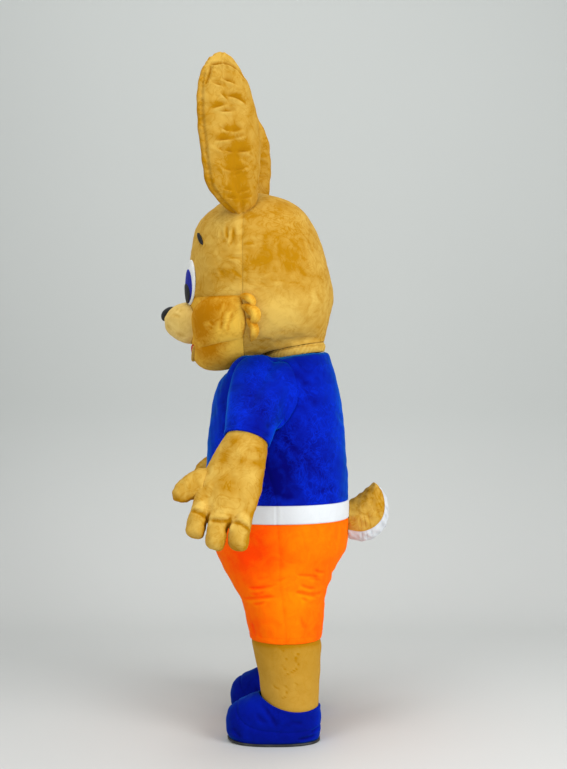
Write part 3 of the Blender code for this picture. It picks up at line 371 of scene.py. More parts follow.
def nap_group():
    """Short nap as a shade round a half and as a height: brushed patches, veins, strokes and fibres."""
    tree = bpy.data.node_groups.new("short_nap", "ShaderNodeTree")
    tree.interface.new_socket("Vector", in_out="INPUT", socket_type="NodeSocketVector")
    for name in ("Patch", "Vein", "Stroke"):
        tree.interface.new_socket(name, in_out="INPUT", socket_type="NodeSocketFloat")
    for name in ("Shade", "Height"):
        tree.interface.new_socket(name, in_out="OUTPUT", socket_type="NodeSocketFloat")
    given = add_node(tree, "NodeGroupInput").outputs
    place = given["Vector"]
    broad = noise(tree, place, 3.2, 3.0, 1.1)
    tufted = noise(tree, place, 17.0, 4.0, 1.6)
    patch = combine(tree, "MULTIPLY_ADD", broad, 0.55, combine(tree, "MULTIPLY", tufted, 0.45))
    patch = combine(tree, "MULTIPLY_ADD", combine(tree, "SUBTRACT", patch, 0.5), given["Patch"], 0.5)
    veins = thin_lines(tree, noise(tree, place, 13.0, 3.0, 2.2), 0.045)
    veins = combine(tree, "MULTIPLY", veins, noise(tree, place, 5.0, 1.0))
    shade = combine(tree, "SUBTRACT", patch, combine(tree, "MULTIPLY", veins, given["Vein"]))
    strokes = thin_lines(tree, noise(tree, place, 26.0, 5.0, 2.6), 0.07)
    strokes = combine(tree, "MULTIPLY", strokes, thin_lines(tree, noise(tree, place, 3.6, 2.0, 0.6), 0.10))
    shade = combine(tree, "MULTIPLY_ADD", strokes, given["Stroke"], shade)
    fibre = noise(tree, place, 620.0, 2.0)
    shade = combine(tree, "MULTIPLY_ADD", combine(tree, "SUBTRACT", fibre, 0.5), 0.16, shade)
    height = combine(tree, "MULTIPLY_ADD", fibre, 0.25, combine(tree, "MULTIPLY", tufted, 0.9))
    add_node(tree, "NodeGroupOutput", {"Shade": shade, "Height": height})
    return tree


SHORT_NAP = nap_group()


def relief(tree, height, strength, distance):
    """The way the surface faces where a height of so many metres stands out of it."""
    inputs = {"Height": height, "Strength": strength, "Distance": distance}
    return add_node(tree, "ShaderNodeBump", inputs).outputs["Normal"]


def plush(
    name, dark, light, sheen, sheen_tint,
    patch=2.6, vein=0.35, stroke=0.0, crease_shade=0.55, bump=0.0016, sheen_width=0.42,
):
    """Plush: the nap's shade, the spots and the painted shade of creases choose between a dark and a light
    tone.

    Where the calm attribute is 1 the nap's own pattern doesn't show.
    """
    material, tree, shader = new_material(name)
    place = add_node(tree, "ShaderNodeTexCoord").outputs["Object"]
    inputs = {"Vector": place, "Patch": patch, "Vein": vein, "Stroke": stroke}
    nap = add_node(tree, "ShaderNodeGroup", inputs, node_tree=SHORT_NAP)
    crease, spot, calm = (
        add_node(tree, "ShaderNodeAttribute", attribute_name=attribute).outputs["Fac"]
        for attribute in ("crease", "nap", "calm")
    )
    pattern = add_node(tree, "ShaderNodeMix", {"Factor": calm, "A": nap.outputs["Shade"], "B": 0.5})
    # Painted shade: creases and seams darken the tone, and ridges lighten it.
    creased = combine(tree, "MULTIPLY_ADD", crease, -crease_shade, pattern.outputs["Result"])
    # The nap attribute adds spots of nap and, in places, painted light and shade.
    whole = combine(tree, "ADD", creased, spot, clamp=True)
    looks = {
        "Base Color": two_tones(tree, whole, dark, light),
        "Normal": relief(tree, nap.outputs["Height"], 0.7, bump),
        "Roughness": 0.82,
        "Specular IOR Level": 0.05,
        "Sheen Weight": sheen,
        "Sheen Roughness": sheen_width,
        "Sheen Tint": (*sheen_tint, 1),
    }
    feed(tree, shader, looks)
    return material


TAN = plush(
    "tan_plush", (0.39, 0.175, 0.001), (0.63, 0.41, 0.085), 0.12, (1.0, 0.8, 0.35), patch=2.3, vein=0.45
)
OCHRE = plush("ochre_plush", (0.47, 0.18, 0.0005), (0.80, 0.48, 0.06), 0.08, (1.0, 0.7, 0.1), patch=2.2)

HEAD = table(
    "front_y front_h back_y back_h half_width side_h squareness",
    (-0.144, 1.992, -0.144, 1.992, 0.000, 1.992, 2.0),
    (-0.205, 1.972, -0.075, 1.990, 0.085, 1.976, 2.0),
    (-0.262, 1.935, 0.015, 1.965, 0.153, 1.942, 2.0),
    (-0.306, 1.892, 0.080, 1.918, 0.210, 1.894, 2.1),
    (-0.331, 1.845, 0.118, 1.858, 0.250, 1.838, 2.2),
    (-0.343, 1.785, 0.148, 1.785, 0.276, 1.775, 2.2),
    (-0.351, 1.715, 0.168, 1.712, 0.289, 1.705, 2.3),
    (-0.356, 1.650, 0.181, 1.642, 0.294, 1.640, 2.3),
    (-0.354, 1.590, 0.186, 1.590, 0.292, 1.589, 2.3),
    (-0.350, 1.530, 0.177, 1.545, 0.282, 1.537, 2.3),
    (-0.347, 1.470, 0.168, 1.507, 0.258, 1.492, 2.2),
    (-0.344, 1.412, 0.161, 1.476, 0.226, 1.456, 2.1),
    (-0.332, 1.365, 0.157, 1.458, 0.193, 1.434, 2.0),
    (-0.298, 1.335, 0.155, 1.449, 0.165, 1.424, 2.0),
    (-0.238, 1.329, 0.154, 1.443, 0.145, 1.419, 2.0),
    (-0.160, 1.350, 0.1535, 1.440, 0.129, 1.4175, 2.0),
    (-0.076, 1.397, 0.1535, 1.438, 0.117, 1.4172, 2.0),
)
FOAM_SHELL = 0.012
HEAD_SEAM_DEPTH = 0.0020
HEAD_CREASE_DEPTH = 0.0040
CHEEK_ROW = 8.0
FACE_SEAM_Y = -0.144
SEAM_GAP = 0.0002

HEAD_FOLDS = table(
    FOLD_COLUMNS,
    (-0.200, 1.842, -0.193, 1.786, 0.0040, 0.0050, 0.003),
    (-0.178, 1.828, -0.186, 1.768, 0.0050, 0.0050, -0.002),
    (-0.222, 1.822, -0.216, 1.800, 0.0024, 0.0060, 0.000),
    (-0.196, 1.726, -0.146, 1.722, 0.0024, 0.0045, 0.003),
    (-0.142, 1.775, -0.100, 1.775, 0.0026, 0.0040, 0.002),
    (-0.224, 1.680, -0.212, 1.664, 0.0024, 0.0060, 0.000),
    (-0.178, 1.683, -0.146, 1.652, 0.0022, 0.0050, 0.003),
    (-0.140, 1.640, -0.095, 1.632, 0.0018, 0.0050, 0.003),
    (-0.090, 1.638, -0.055, 1.622, 0.0020, 0.0050, 0.002),
    (-0.048, 1.636, 0.004, 1.640, 0.0018, 0.0050, -0.003),
    (0.010, 1.634, 0.080, 1.638, 0.0012, 0.0050, 0.002),
    (0.020, 1.800, 0.052, 1.766, 0.0018, 0.0070, 0.003),
    (0.056, 1.700, 0.082, 1.656, 0.0018, 0.0070, 0.003),
    (-0.120, 1.708, -0.080, 1.700, 0.0014, 0.0060, -0.002),
    (0.090, 1.802, 0.110, 1.750, 0.0016, 0.0070, 0.003),
    (0.120, 1.620, 0.138, 1.570, 0.0014, 0.0080, 0.003),
    (-0.090, 1.428, -0.040, 1.440, 0.0020, 0.0060, -0.003),
    (-0.060, 1.452, 0.020, 1.468, 0.0012, 0.0060, -0.002),
)
# The narrow dark ovals on the creases are painted shade in them; the broad light oval low on the side at
# 1.500 m is partly painted light.
HEAD_SPOTS = table(
    SPOT_COLUMNS,
    (-0.110, 1.800, 0.050, 0.110, -0.24),
    (-0.110, 1.690, 0.050, 0.060, -0.22),
    (-0.030, 1.820, 0.075, 0.090, -0.16),
    (-0.020, 1.710, 0.085, 0.070, -0.18),
    (0.060, 1.740, 0.040, 0.060, -0.10),
    (-0.040, 1.930, 0.090, 0.040, -0.18),
    (0.060, 1.870, 0.040, 0.040, 0.12),
    (0.110, 1.740, 0.030, 0.070, 0.18),
    (-0.020, 1.500, 0.120, 0.085, 0.45),
    (0.075, 1.560, 0.040, 0.060, 0.15),
    (0.120, 1.500, 0.035, 0.050, -0.15),
    (0.055, 1.620, 0.070, 0.014, -0.22),
    (-0.160, 1.790, 0.014, 0.140, 0.34),
    (-0.205, 1.860, 0.060, 0.050, 0.24),
    (-0.250, 1.780, 0.060, 0.090, 0.10),
    (-0.180, 1.665, 0.030, 0.020, -0.28),
    (-0.230, 1.660, 0.035, 0.035, -0.24),
    (-0.170, 1.610, 0.030, 0.016, 0.30),
    (-0.205, 1.800, 0.008, 0.036, -0.35),
    (-0.172, 1.800, 0.008, 0.036, -0.35),
)
JAW_SPOTS = table(
    SPOT_COLUMNS,
    (-0.300, 1.560, 0.030, 0.040, 0.45),
    (-0.240, 1.520, 0.085, 0.090, -0.55),
    (-0.265, 1.410, 0.050, 0.050, -0.65),
    (-0.190, 1.400, 0.070, 0.030, 0.40),
    (-0.130, 1.430, 0.060, 0.045, 0.60),
    (-0.230, 1.470, 0.050, 0.020, 0.10),
)


def face_seam_turn(row):
    """The turn at which a ring of the head crosses the plane of the face seam."""
    front, back = read(HEAD["front_y"], row), read(HEAD["back_y"], row)
    forward = np.clip(((front + back) / 2 - FACE_SEAM_Y) / np.maximum((back - front) / 2, 1e-6), 0, 1)
    forward = np.where(row < 0.01, 0, forward)
    return np.degrees(np.arccos(forward ** (read(HEAD["squareness"], row) / 2)))


def head_skin(row, turn, borders, spots):
    """Outer and inner skin of a piece of the head, with its seams sunk in, its creases with painted shade,
    and its nap with painted light and shade in places.
    """
    plain = ring_point(HEAD, row, turn, pole=True)
    out = ring_normal(HEAD, row, turn, pole=True)
    along, height = plain[..., 1], plain[..., 2] - FLOOR
    beside = np.clip(np.abs(plain[..., 0]) / 0.10, 0, 1)
    trough = folds(HEAD_FOLDS, along, height + 0.012 * (plain[..., 0] < 0)) * beside
    dip = seam(from_border(plain, borders), HEAD_SEAM_DEPTH, 0.0045)
    lift = swells(plain, 0.33, 0.0016) + swells(plain, 0.09, 0.0007) - trough - dip
    # Painted shade in the creases and along the seams, lighter on the ridges.
    crease = np.clip(trough / HEAD_CREASE_DEPTH, -0.6, 1) + 0.1 * dip / HEAD_SEAM_DEPTH
    nap = nap_and_painted_light(spots, along, height) * beside
    return plain + out * lift[..., None], plain - out * FOAM_SHELL, crease, nap


def one_side(skin, low=-np.inf, high=np.inf, left=-np.inf):
    """Points kept behind or before a seam's plane, or left of the centre seam."""
    skin = skin.copy()
    skin[..., 1] = np.clip(skin[..., 1], low, high)
    skin[..., 0] = np.maximum(skin[..., 0], left)
    return skin


crown_rows = np.linspace(0, 1, 14)[:-1]
face_rows = np.concatenate([crown_rows, np.linspace(1, CHEEK_ROW, 80)])[:, None]
jaw_rows = np.linspace(CHEEK_ROW, 16, 64)[:, None]
for name, rows, material, slot, borders, spots in (
    ("head_face", face_rows, TAN, "tan_plush", "bottom first last", HEAD_SPOTS),
    ("jaw", jaw_rows, OCHRE, "ochre_plush", "top first last", JAW_SPOTS),
):
    turn = np.linspace(-1, 1, 101)[None] * face_seam_turn(rows)
    rows = np.broadcast_to(rows, turn.shape)
    outer, inner, crease, nap = head_skin(rows, turn, borders, spots)
    before = [one_side(skin, high=FACE_SEAM_Y - SEAM_GAP) for skin in (outer, inner)]
    piece = cloth(name, *before, material, crease=crease, nap=nap)
    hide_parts(name)
    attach(piece, "root")

SIDES = (("left", 1), ("right", -1))
back_rows = np.concatenate([crown_rows, np.linspace(1, 16, 124)])[:, None]
back_seam = face_seam_turn(back_rows)
for name, side in SIDES:
    turn = back_seam + (180 - back_seam) * np.linspace(0, 1, 68)[None]
    rows = np.broadcast_to(back_rows, turn.shape)
    outer, inner, crease, nap = head_skin(rows, turn, "first last", HEAD_SPOTS)
    behind = [one_side(skin, low=FACE_SEAM_Y + SEAM_GAP, left=SEAM_GAP) for skin in (outer, inner)]
    piece = cloth(f"head_back_{name}", *behind, TAN, side=side, crease=crease, nap=nap)
    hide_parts(f"head_back_{name}")
    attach(piece, "root")

# Eyes and brows
# Ovals of felt glued and whip-stitched on the face: white, a blue iris and a black pupil on top of
# each other, and a slanted black brow above. The face is a plain toy rabbit's.


def felt(name, dark, light, roughness):
    """Pressed felt: fine speckle between two near tones, matt, with a soft pitted surface."""
    material, tree, shader = new_material(name)
    place = add_node(tree, "ShaderNodeTexCoord").outputs["Object"]
    speckle = combine(tree, "MULTIPLY", noise(tree, place, 480.0, 3.0), noise(tree, place, 34.0, 4.0))
    looks = {
        "Base Color": two_tones(tree, speckle, dark, light, 0.12, 0.42),
        "Normal": relief(tree, speckle, 0.5, 0.0008),
        "Roughness": roughness,
        "Specular IOR Level": 0.25,
    }
    feed(tree, shader, looks)
    return material


WHITE_FELT = felt("white_felt", (0.62, 0.64, 0.62), (0.82, 0.83, 0.81), 0.75)
IRIS_FELT = felt("iris_felt", (0.002, 0.006, 0.20), (0.006, 0.02, 0.42), 0.7)
BLACK_FELT = felt("black_felt", (0.004, 0.004, 0.005), (0.018, 0.018, 0.020), 0.6)
RED_FELT = felt("red_felt", (0.40, 0.015, 0.010), (0.62, 0.04, 0.025), 0.75)

PAD_GAP = 0.0010
GLUE_GAP = 0.0003
PADS = table(
    "row turn half_rows half_turns thickness dome slant",
    (7.05, 18.0, 1.33, 15.5, 0.0030, 0.005, 0.00),
    (7.25, 17.6, 1.00, 12.6, 0.0015, 0.001, 0.00),
    (7.66, 17.2, 0.60, 9.8, 0.0015, 0.001, 0.00),
    (4.66, 35.0, 0.19, 6.0, 0.0040, 0.003, 0.34),
)


def head_lift(row, turn, pads):
    """How far the pads that lie below a place have raised it off the head."""
    lift = np.zeros(np.broadcast(row, turn).shape)
    for k in pads:
        pad = {name: column[k] for name, column in PADS.items()}
        reach = ((row - pad["row"]) / pad["half_rows"]) ** 2 + ((turn - pad["turn"]) / pad["half_turns"]) ** 2
        lift = lift + PAD_GAP + pad["thickness"] + pad["dome"] * np.sqrt(np.maximum(1 - reach, 0))
    return lift


def on_head(row, turn, lift):
    """A place moved out of the head's plain form by a lift."""
    point = ring_point(HEAD, row, turn, pole=True)
    return point + ring_normal(HEAD, row, turn, pole=True) * np.asarray(lift)[..., None]


def oval_pad(k, below):
    """The domed face and the flat back of an oval pad, as circles from its middle out.

    The edge rolls over: the height is the dome plus the thickness times a quarter circle at the rim.
    """
    pad = {name: column[k] for name, column in PADS.items()}
    reach = np.concatenate([np.linspace(0, 0.9, 8), np.linspace(0.92, 1, 5)])[:, None]
    angle = -np.radians(np.arange(60) * 6.0)[None]
    row = pad["row"] - pad["half_rows"] * reach * np.cos(angle) + pad["slant"] * reach * np.sin(angle)
    turn = pad["turn"] + pad["half_turns"] * reach * np.sin(angle)
    base = head_lift(row, turn, below)
    roll = np.sqrt(np.clip(1 - ((reach - 0.9) / 0.1).clip(0) ** 2, 0, 1))
    top = pad["dome"] * np.sqrt(np.maximum(1 - reach**2, 0)) + pad["thickness"] * (0.25 + 0.75 * roll)
    return on_head(row, turn, base + PAD_GAP + top), on_head(row, turn, base + GLUE_GAP)


for name, k, below, material, slot in (
    ("eye_white", 0, (), WHITE_FELT, "eye_white"),
    ("iris", 1, (0,), IRIS_FELT, "iris_blue"),
    ("pupil", 2, (0, 1), BLACK_FELT, "black_felt"),
    ("brow", 3, (), BLACK_FELT, "black_felt"),
):
    outer, inner = oval_pad(k, below)
    for hand_side, side in SIDES:
        piece = cloth(f"{name}_{hand_side}", outer, inner, material, closed=True, side=side)
        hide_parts(f"{name}_{hand_side}")
        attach(piece, "root")

# Cheeks
# Round ochre pads, lightly stuffed, from beside the muzzle to behind the face seam. Three thick
# stuffed tufts are sewn one below the other on each pad's rear edge and curl down.
CHEEK = {"top": 8.06, "bottom": 11.24, "front_turn": 24, "rear_turn": 78, "dome": 0.021, "gap": 0.0005}
CHEEK_CREASE = 0.0035
CHEEK_SPOTS = table(
    SPOT_COLUMNS,
    (-0.270, 1.530, 0.060, 0.055, -0.50),
    (-0.200, 1.560, 0.060, 0.025, -0.25),
    (-0.300, 1.470, 0.030, 0.060, -0.50),
    (-0.185, 1.486, 0.014, 0.026, 0.80),
    (-0.160, 1.484, 0.010, 0.024, 0.80),
    (-0.142, 1.490, 0.008, 0.022, 0.70),
    (-0.152, 1.530, 0.012, 0.030, 0.40),
    (-0.225, 1.465, 0.016, 0.012, 0.40),
    (-0.275, 1.490, 0.014, 0.012, 0.40),
    (-0.200, 1.435, 0.050, 0.016, 0.50),
    (-0.140, 1.430, 0.040, 0.030, 0.40),
    (-0.130, 1.460, 0.014, 0.020, -0.30),
)
CHEEK_FOLDS = table(
    FOLD_COLUMNS,
    (-0.176, 1.532, -0.198, 1.462, 0.0040, 0.0060, 0.002),
    (-0.158, 1.508, -0.164, 1.470, 0.0034, 0.0045, 0.001),
    (-0.144, 1.512, -0.148, 1.466, 0.0034, 0.0045, 0.001),
    (-0.215, 1.500, -0.222, 1.466, 0.0024, 0.0060, 0.002),
    (-0.262, 1.500, -0.244, 1.486, 0.0022, 0.0050, 0.001),
    (-0.270, 1.488, -0.252, 1.474, 0.0022, 0.0050, 0.001),
)
TUFTS = table(
    "root_y root_h bend_y bend_h tip_y tip_h radius",
    (-0.152, 1.586, -0.092, 1.584, -0.116, 1.536, 0.0155),
    (-0.146, 1.552, -0.070, 1.532, -0.116, 1.484, 0.0205),
    (-0.130, 1.508, -0.084, 1.472, -0.116, 1.432, 0.0160),
)


def cheek_skin():
    """Rows down the pad and columns back along it: a dome that thins out at its front and bottom.

    The dome goes as the product of two sines, down the pad and along it, and rolls over at its rim.
    """
    row = np.linspace(CHEEK["top"], CHEEK["bottom"], 76)[:, None]
    reach = np.linspace(0, 1, 64)[None]
    front_turn = CHEEK["front_turn"] + 27 * np.clip((9.3 - row) / 1.24, 0, 1) ** 2.2
    front_turn = front_turn + 6 * np.clip((row - 10) / 1.24, 0, 1) ** 2
    part = (row - CHEEK["top"]) / (CHEEK["bottom"] - CHEEK["top"])
    rear_turn = CHEEK["rear_turn"] + 4 * np.sin(np.pi * part)
    turn = front_turn + (rear_turn - front_turn) * reach
    level = np.sin(np.pi * np.clip((row - 7.9) / 3.34, 0, 1)) ** 0.85
    dome = CHEEK["dome"] * level * np.sin(np.pi * np.clip(0.12 + 0.80 * reach, 0, 1)) ** 0.7
    rim = np.minimum(np.minimum((row - CHEEK["top"]) / 0.20, (1 - reach) / 0.05), reach / 0.10)
    edge = np.clip(rim, 0, 1)
    lift = 0.0008 + dome * (0.12 + 0.88 * np.sqrt(edge * (2 - edge)))
    row = np.broadcast_to(row, turn.shape)
    return on_head(row, turn, lift), on_head(row, turn, np.full(turn.shape, CHEEK["gap"])), edge


outer, inner, edge = cheek_skin()
along, height = outer[..., 1], outer[..., 2] - FLOOR
trough = folds(CHEEK_FOLDS, along, height)
outer = outer - trough[..., None] * (1.0, 0, 0)
# Painted shade in the creases and towards the rim, where the pad rolls over onto the head.
crease = np.clip(trough / CHEEK_CREASE, -0.8, 1) + 0.7 * (1 - edge) ** 2
nap = nap_and_painted_light(CHEEK_SPOTS, along, height)


def head_side(y, height):
    """How far out the head's side is at a place seen from the side."""
    row = np.interp(-height, -HEAD["side_h"], np.arange(len(HEAD["side_h"])))
    columns = ("half_width", "front_y", "back_y", "squareness")
    half_width, front, back, power = (read(HEAD[column], row) for column in columns)
    away = np.abs(2 * y - front - back) / (back - front)
    return half_width * (1 - away**power) ** (1 / power)


def tuft(k):
    """A bent drop: circles of growing and shrinking radius along a curve from its root to its tip."""
    root_y, root_h, bend_y, bend_h, tip_y, tip_h, radius = (column[k] for column in TUFTS.values())
    part = (1 - np.cos(np.pi * np.linspace(0, 1, 30))) / 2
    weight = np.stack([(1 - part) ** 2, 2 * part * (1 - part), part**2], -1)
    line = weight @ np.array([(0.0, root_y, root_h), (0.0, bend_y, bend_h), (0.0, tip_y, tip_h)])
    line[:, 0] = head_side(line[:, 1], line[:, 2]) + radius * (0.6 + 0.7 * np.sin(np.pi * part))
    way = unit(np.gradient(line, axis=0))
    beside = unit(np.cross(way, (1.0, 0, 0)))
    over = np.cross(beside, way)
    part = part[:, None]
    around = (np.arange(36) * np.pi / 18)[None]
    wide = radius * np.sin(np.pi * part**0.85) ** 0.55 * (1 + 0.10 * np.sin(3 * around + 5 * part + k))
    circle = np.cos(around)[..., None] * beside[:, None] + np.sin(around)[..., None] * over[:, None]
    skin = line[:, None] + wide[..., None] * circle
    skin[..., 2] += FLOOR
    # Painted shade at the root and round the underside, less a painted highlight on one side of the middle.
    dark = 0.7 * bell(part - 0.15, 0.18) + 0.35 * np.clip(-np.cos(around), 0, 1)
    return skin, dark - 0.9 * bell(around - np.pi * 0.40, 0.5) * bell(part - 0.45, 0.22)


for name, side in SIDES:
    piece = cloth(f"cheek_{name}", outer, inner, OCHRE, side=side, crease=crease, nap=nap)
    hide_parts(f"cheek_{name}")
    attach(piece, "root")
    for k in range(3):
        skin, dark = tuft(k)
        piece = cloth(f"tuft_{name}_{k + 1}", skin, None, OCHRE, closed=True, side=side, crease=dark)
        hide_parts(f"cheek_{name}")
        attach(piece, "root")

# Muzzle, nose and mouth
# The muzzle is a stuffed cream pouch of two halves with a groove down its middle seam. The nose is a
# black stuffed pad, and the mouth a red felt crescent over a padded tan lip.
CREAM = plush("cream_plush", (0.54, 0.31, 0.05), (0.79, 0.565, 0.17), 0.24, (1.0, 0.9, 0.65), vein=0.25)
MUZZLE = {"row": 9.4, "half_rows": 1.3, "half_turns": 28.0, "reach": 0.098, "groove": 0.125, "gap": 0.0010}
MUZZLE_SEAM = 0.0030
MUZZLE_CREASE = 0.0030
MUZZLE_FOLDS = table(
    FOLD_COLUMNS,
    (-0.375, 1.520, -0.405, 1.532, 0.0026, 0.005, 0.002),
    (-0.372, 1.556, -0.382, 1.534, 0.0018, 0.004, 0.0),
    (-0.388, 1.560, -0.392, 1.545, 0.0016, 0.004, 0.0),
    (-0.395, 1.470, -0.360, 1.452, 0.0020, 0.006, 0.003),
    (-0.430, 1.498, -0.412, 1.476, 0.0016, 0.006, 0.002),
)
NOSE = {"half_width": 0.33, "down": 0.45, "half_height": 0.34, "height": 0.013}
MOUTH = {"half_turns": 20, "top": 10.82, "bottom": 10.90, "drop": 0.80, "roll": 0.0030}
LIP = {"share_of_mouth": 1.16, "height": 0.010, "pucker": 0.0006}


def muzzle_base(across, down):
    """The head's form behind the muzzle; across and down run from -1 to 1."""
    row = MUZZLE["row"] + MUZZLE["half_rows"] * down
    return on_head(row, MUZZLE["half_turns"] * across, np.full(across.shape, MUZZLE["gap"]))


def muzzle_point(across, down, groove, lift):
    """The pouch: it swells forwards as 1 minus across and down squared, less a bell-shaped groove."""
    swell = np.maximum(1 - across**2 - down**2, 0) ** 0.55 * (1 - groove * bell(across, 0.16))
    forward = swell * MUZZLE["reach"] + lift
    return muzzle_base(across, down) - np.stack([0 * forward, forward, 0 * forward], -1)


reach = (1 - (1 - np.linspace(0, 1, 30)) ** 1.6)[:, None]
angle = -np.radians(np.arange(100) * 3.6)[None]
across, down = reach * np.sin(angle), -reach * np.cos(angle)
plain = muzzle_point(across, down, MUZZLE["groove"], 0.002)
trough = folds(MUZZLE_FOLDS, plain[..., 1], plain[..., 2] - FLOOR)
middle = bell(plain[..., 0], 0.004) * MUZZLE_SEAM
outer = plain + (trough + middle - swells(plain, 0.07, 0.0010))[..., None] * (0, 1, 0)
inner = plain * (1, 0, 1) + muzzle_base(across, down) * (0, 1, 0)
# Painted shade in the creases and down the middle groove, lighter on the ridges.
crease = np.clip(trough / MUZZLE_CREASE, -0.6, 1) + 0.75 * middle / MUZZLE_SEAM
piece = cloth("muzzle", outer, inner, CREAM, closed=True, crease=crease)
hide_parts("muzzle_left", "muzzle_right")
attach(piece, "root")

reach = (1 - (1 - np.linspace(0, 1, 22)) ** 1.8)[:, None]
angle = -np.radians(np.arange(60) * 6.0)[None]
across = NOSE["half_width"] * reach * np.sin(angle) * (1 + 0.25 * np.cos(angle))
down = -NOSE["down"] - NOSE["half_height"] * reach * np.cos(angle)
round_edge = np.sqrt(np.maximum(1 - reach**2, 0)) + 0 * angle
outer = muzzle_point(across, down, 0.0, 0.0036) + round_edge[..., None] * (0, -NOSE["height"], 0.006)
inner = muzzle_point(across, down, 0.0, 0.0009)
piece = cloth("nose", outer, inner, BLACK_FELT, closed=True)
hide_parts("nose")
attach(piece, "root")

turn = np.linspace(-MOUTH["half_turns"], MOUTH["half_turns"], 61)[None]
depth = 1 - (turn / MOUTH["half_turns"]) ** 2
part = np.linspace(0, 1, 13)[:, None]
lower = MOUTH["bottom"] + MOUTH["drop"] * depth
row = (MOUTH["top"] + 0.05 * depth) * (1 - part) + lower * part
turn = turn + 0 * row
roll = MOUTH["roll"] * np.sqrt(np.clip(4 * part * (1 - part), 0.1, 1)) + 0 * row
under = np.full(row.shape, GLUE_GAP)
piece = cloth("mouth", on_head(row, turn, 0.0006 + roll), on_head(row, turn, under), RED_FELT)
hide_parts("mouth")
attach(piece, "root")

row = (lower + 0.03) * (1 - part) + (lower + 0.16 + 0.16 * depth) * part
lip = np.sqrt(np.clip(4 * part * (1 - part), 0, 1)) + 0 * row
swell = 0.0008 + LIP["height"] * lip + LIP["pucker"] * np.sin(turn * 2.9) * lip
turn = turn * LIP["share_of_mouth"]
piece = cloth("lower_lip", on_head(row, turn, swell), on_head(row, turn, under), TAN)
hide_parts("lower_lip")
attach(piece, "root")

# Ears
# Tall stuffed ears of two panels: the inner one wraps round the front edge and over the tip, and a
# gathered seam down the middle of each face puckers it in chevrons. The far one leans further back.
EAR = table(
    "height middle_y half_width half_thickness",
    (2.466, -0.221, 0.012, 0.004),
    (2.450, -0.221, 0.038, 0.012),
    (2.420, -0.220, 0.064, 0.021),
    (2.365, -0.214, 0.092, 0.031),
    (2.295, -0.207, 0.108, 0.038),
    (2.215, -0.198, 0.116, 0.042),
    (2.130, -0.190, 0.114, 0.044),
    (2.050, -0.187, 0.107, 0.046),
    (1.985, -0.182, 0.097, 0.045),
    (1.945, -0.170, 0.080, 0.042),
    (1.915, -0.160, 0.056, 0.036),
    (1.880, -0.158, 0.014, 0.014),
)
EAR_TURN = np.radians(24)
EAR_X = 0.193
EAR_FRONT_SEAM = 28.0
EAR_GROOVE = 0.0065
EAR_BACK_SEAM = 0.0030
EAR_MIDDLE_SEAM = 0.0022
EAR_INNER_SHIFT = (0.010, 0.021)
FAR_EAR_LEAN = 0.034
EAR_FOLDS = table(
    FOLD_COLUMNS,
    (-0.258, 2.353, -0.205, 2.340, 0.0080, 0.0050, 0.004),
    (-0.228, 2.366, -0.160, 2.342, 0.0100, 0.0055, -0.006),
    (-0.226, 2.315, -0.196, 2.288, 0.0090, 0.0050, 0.000),
    (-0.206, 2.306, -0.128, 2.278, 0.0130, 0.0065, -0.008),
    (-0.264, 2.252, -0.200, 2.280, 0.0120, 0.0065, 0.004),
    (-0.234, 2.246, -0.168, 2.260, 0.0105, 0.0055, 0.005),
    (-0.220, 2.188, -0.186, 2.176, 0.0090, 0.0050, 0.003),
    (-0.188, 2.177, -0.144, 2.192, 0.0100, 0.0055, 0.003),
    (-0.250, 2.140, -0.176, 2.154, 0.0120, 0.0055, 0.003),
    (-0.182, 2.152, -0.128, 2.172, 0.0060, 0.0045, 0.002),
    (-0.236, 2.116, -0.206, 2.098, 0.0080, 0.0050, 0.000),
    (-0.212, 2.108, -0.170, 2.104, 0.0090, 0.0050, 0.002),
    (-0.174, 2.105, -0.112, 2.122, 0.0130, 0.0060, 0.004),
    (-0.150, 2.108, -0.104, 2.098, 0.0040, 0.0040, 0.000),
    (-0.220, 2.044, -0.168, 2.036, 0.0070, 0.0045, 0.003),
    (-0.178, 2.036, -0.124, 2.058, 0.0100, 0.0050, 0.003),
    (-0.176, 2.018, -0.148, 2.034, 0.0050, 0.0045, 0.000),
    (-0.218, 1.972, -0.176, 1.962, 0.0060, 0.0045, 0.000),
    (-0.166, 1.958, -0.118, 1.980, 0.0080, 0.0050, 0.002),
    (-0.205, 1.944, -0.160, 1.938, 0.0070, 0.0045, 0.002),
    (-0.156, 1.936, -0.112, 1.954, 0.0075, 0.0050, 0.002),
)
# The dark ovals lie along the puckers: painted shade in their folds.
EAR_SPOTS = table(
    SPOT_COLUMNS,
    (-0.170, 2.302, 0.030, 0.014, -0.40),
    (-0.232, 2.272, 0.026, 0.010, -0.40),
    (-0.182, 2.190, 0.030, 0.014, -0.40),
    (-0.215, 2.156, 0.030, 0.012, -0.35),
    (-0.160, 2.124, 0.040, 0.020, -0.45),
    (-0.176, 2.070, 0.026, 0.035, -0.50),
    (-0.164, 2.010, 0.036, 0.050, -0.30),
    (-0.160, 1.950, 0.050, 0.030, -0.30),
    (-0.215, 2.215, 0.040, 0.040, 0.20),
    (-0.100, 2.200, 0.030, 0.150, -0.12),
)
EAR_TIP_SEAM = table(
    FOLD_COLUMNS,
    (-0.279, 2.331, -0.257, 2.416, 0.0075, 0.0050, 0.004),
    (-0.259, 2.414, -0.214, 2.426, 0.0085, 0.0050, 0.002),
    (-0.216, 2.427, -0.161, 2.405, 0.0085, 0.0050, -0.004),
    (-0.164, 2.407, -0.139, 2.375, 0.0050, 0.0045, -0.002),
)


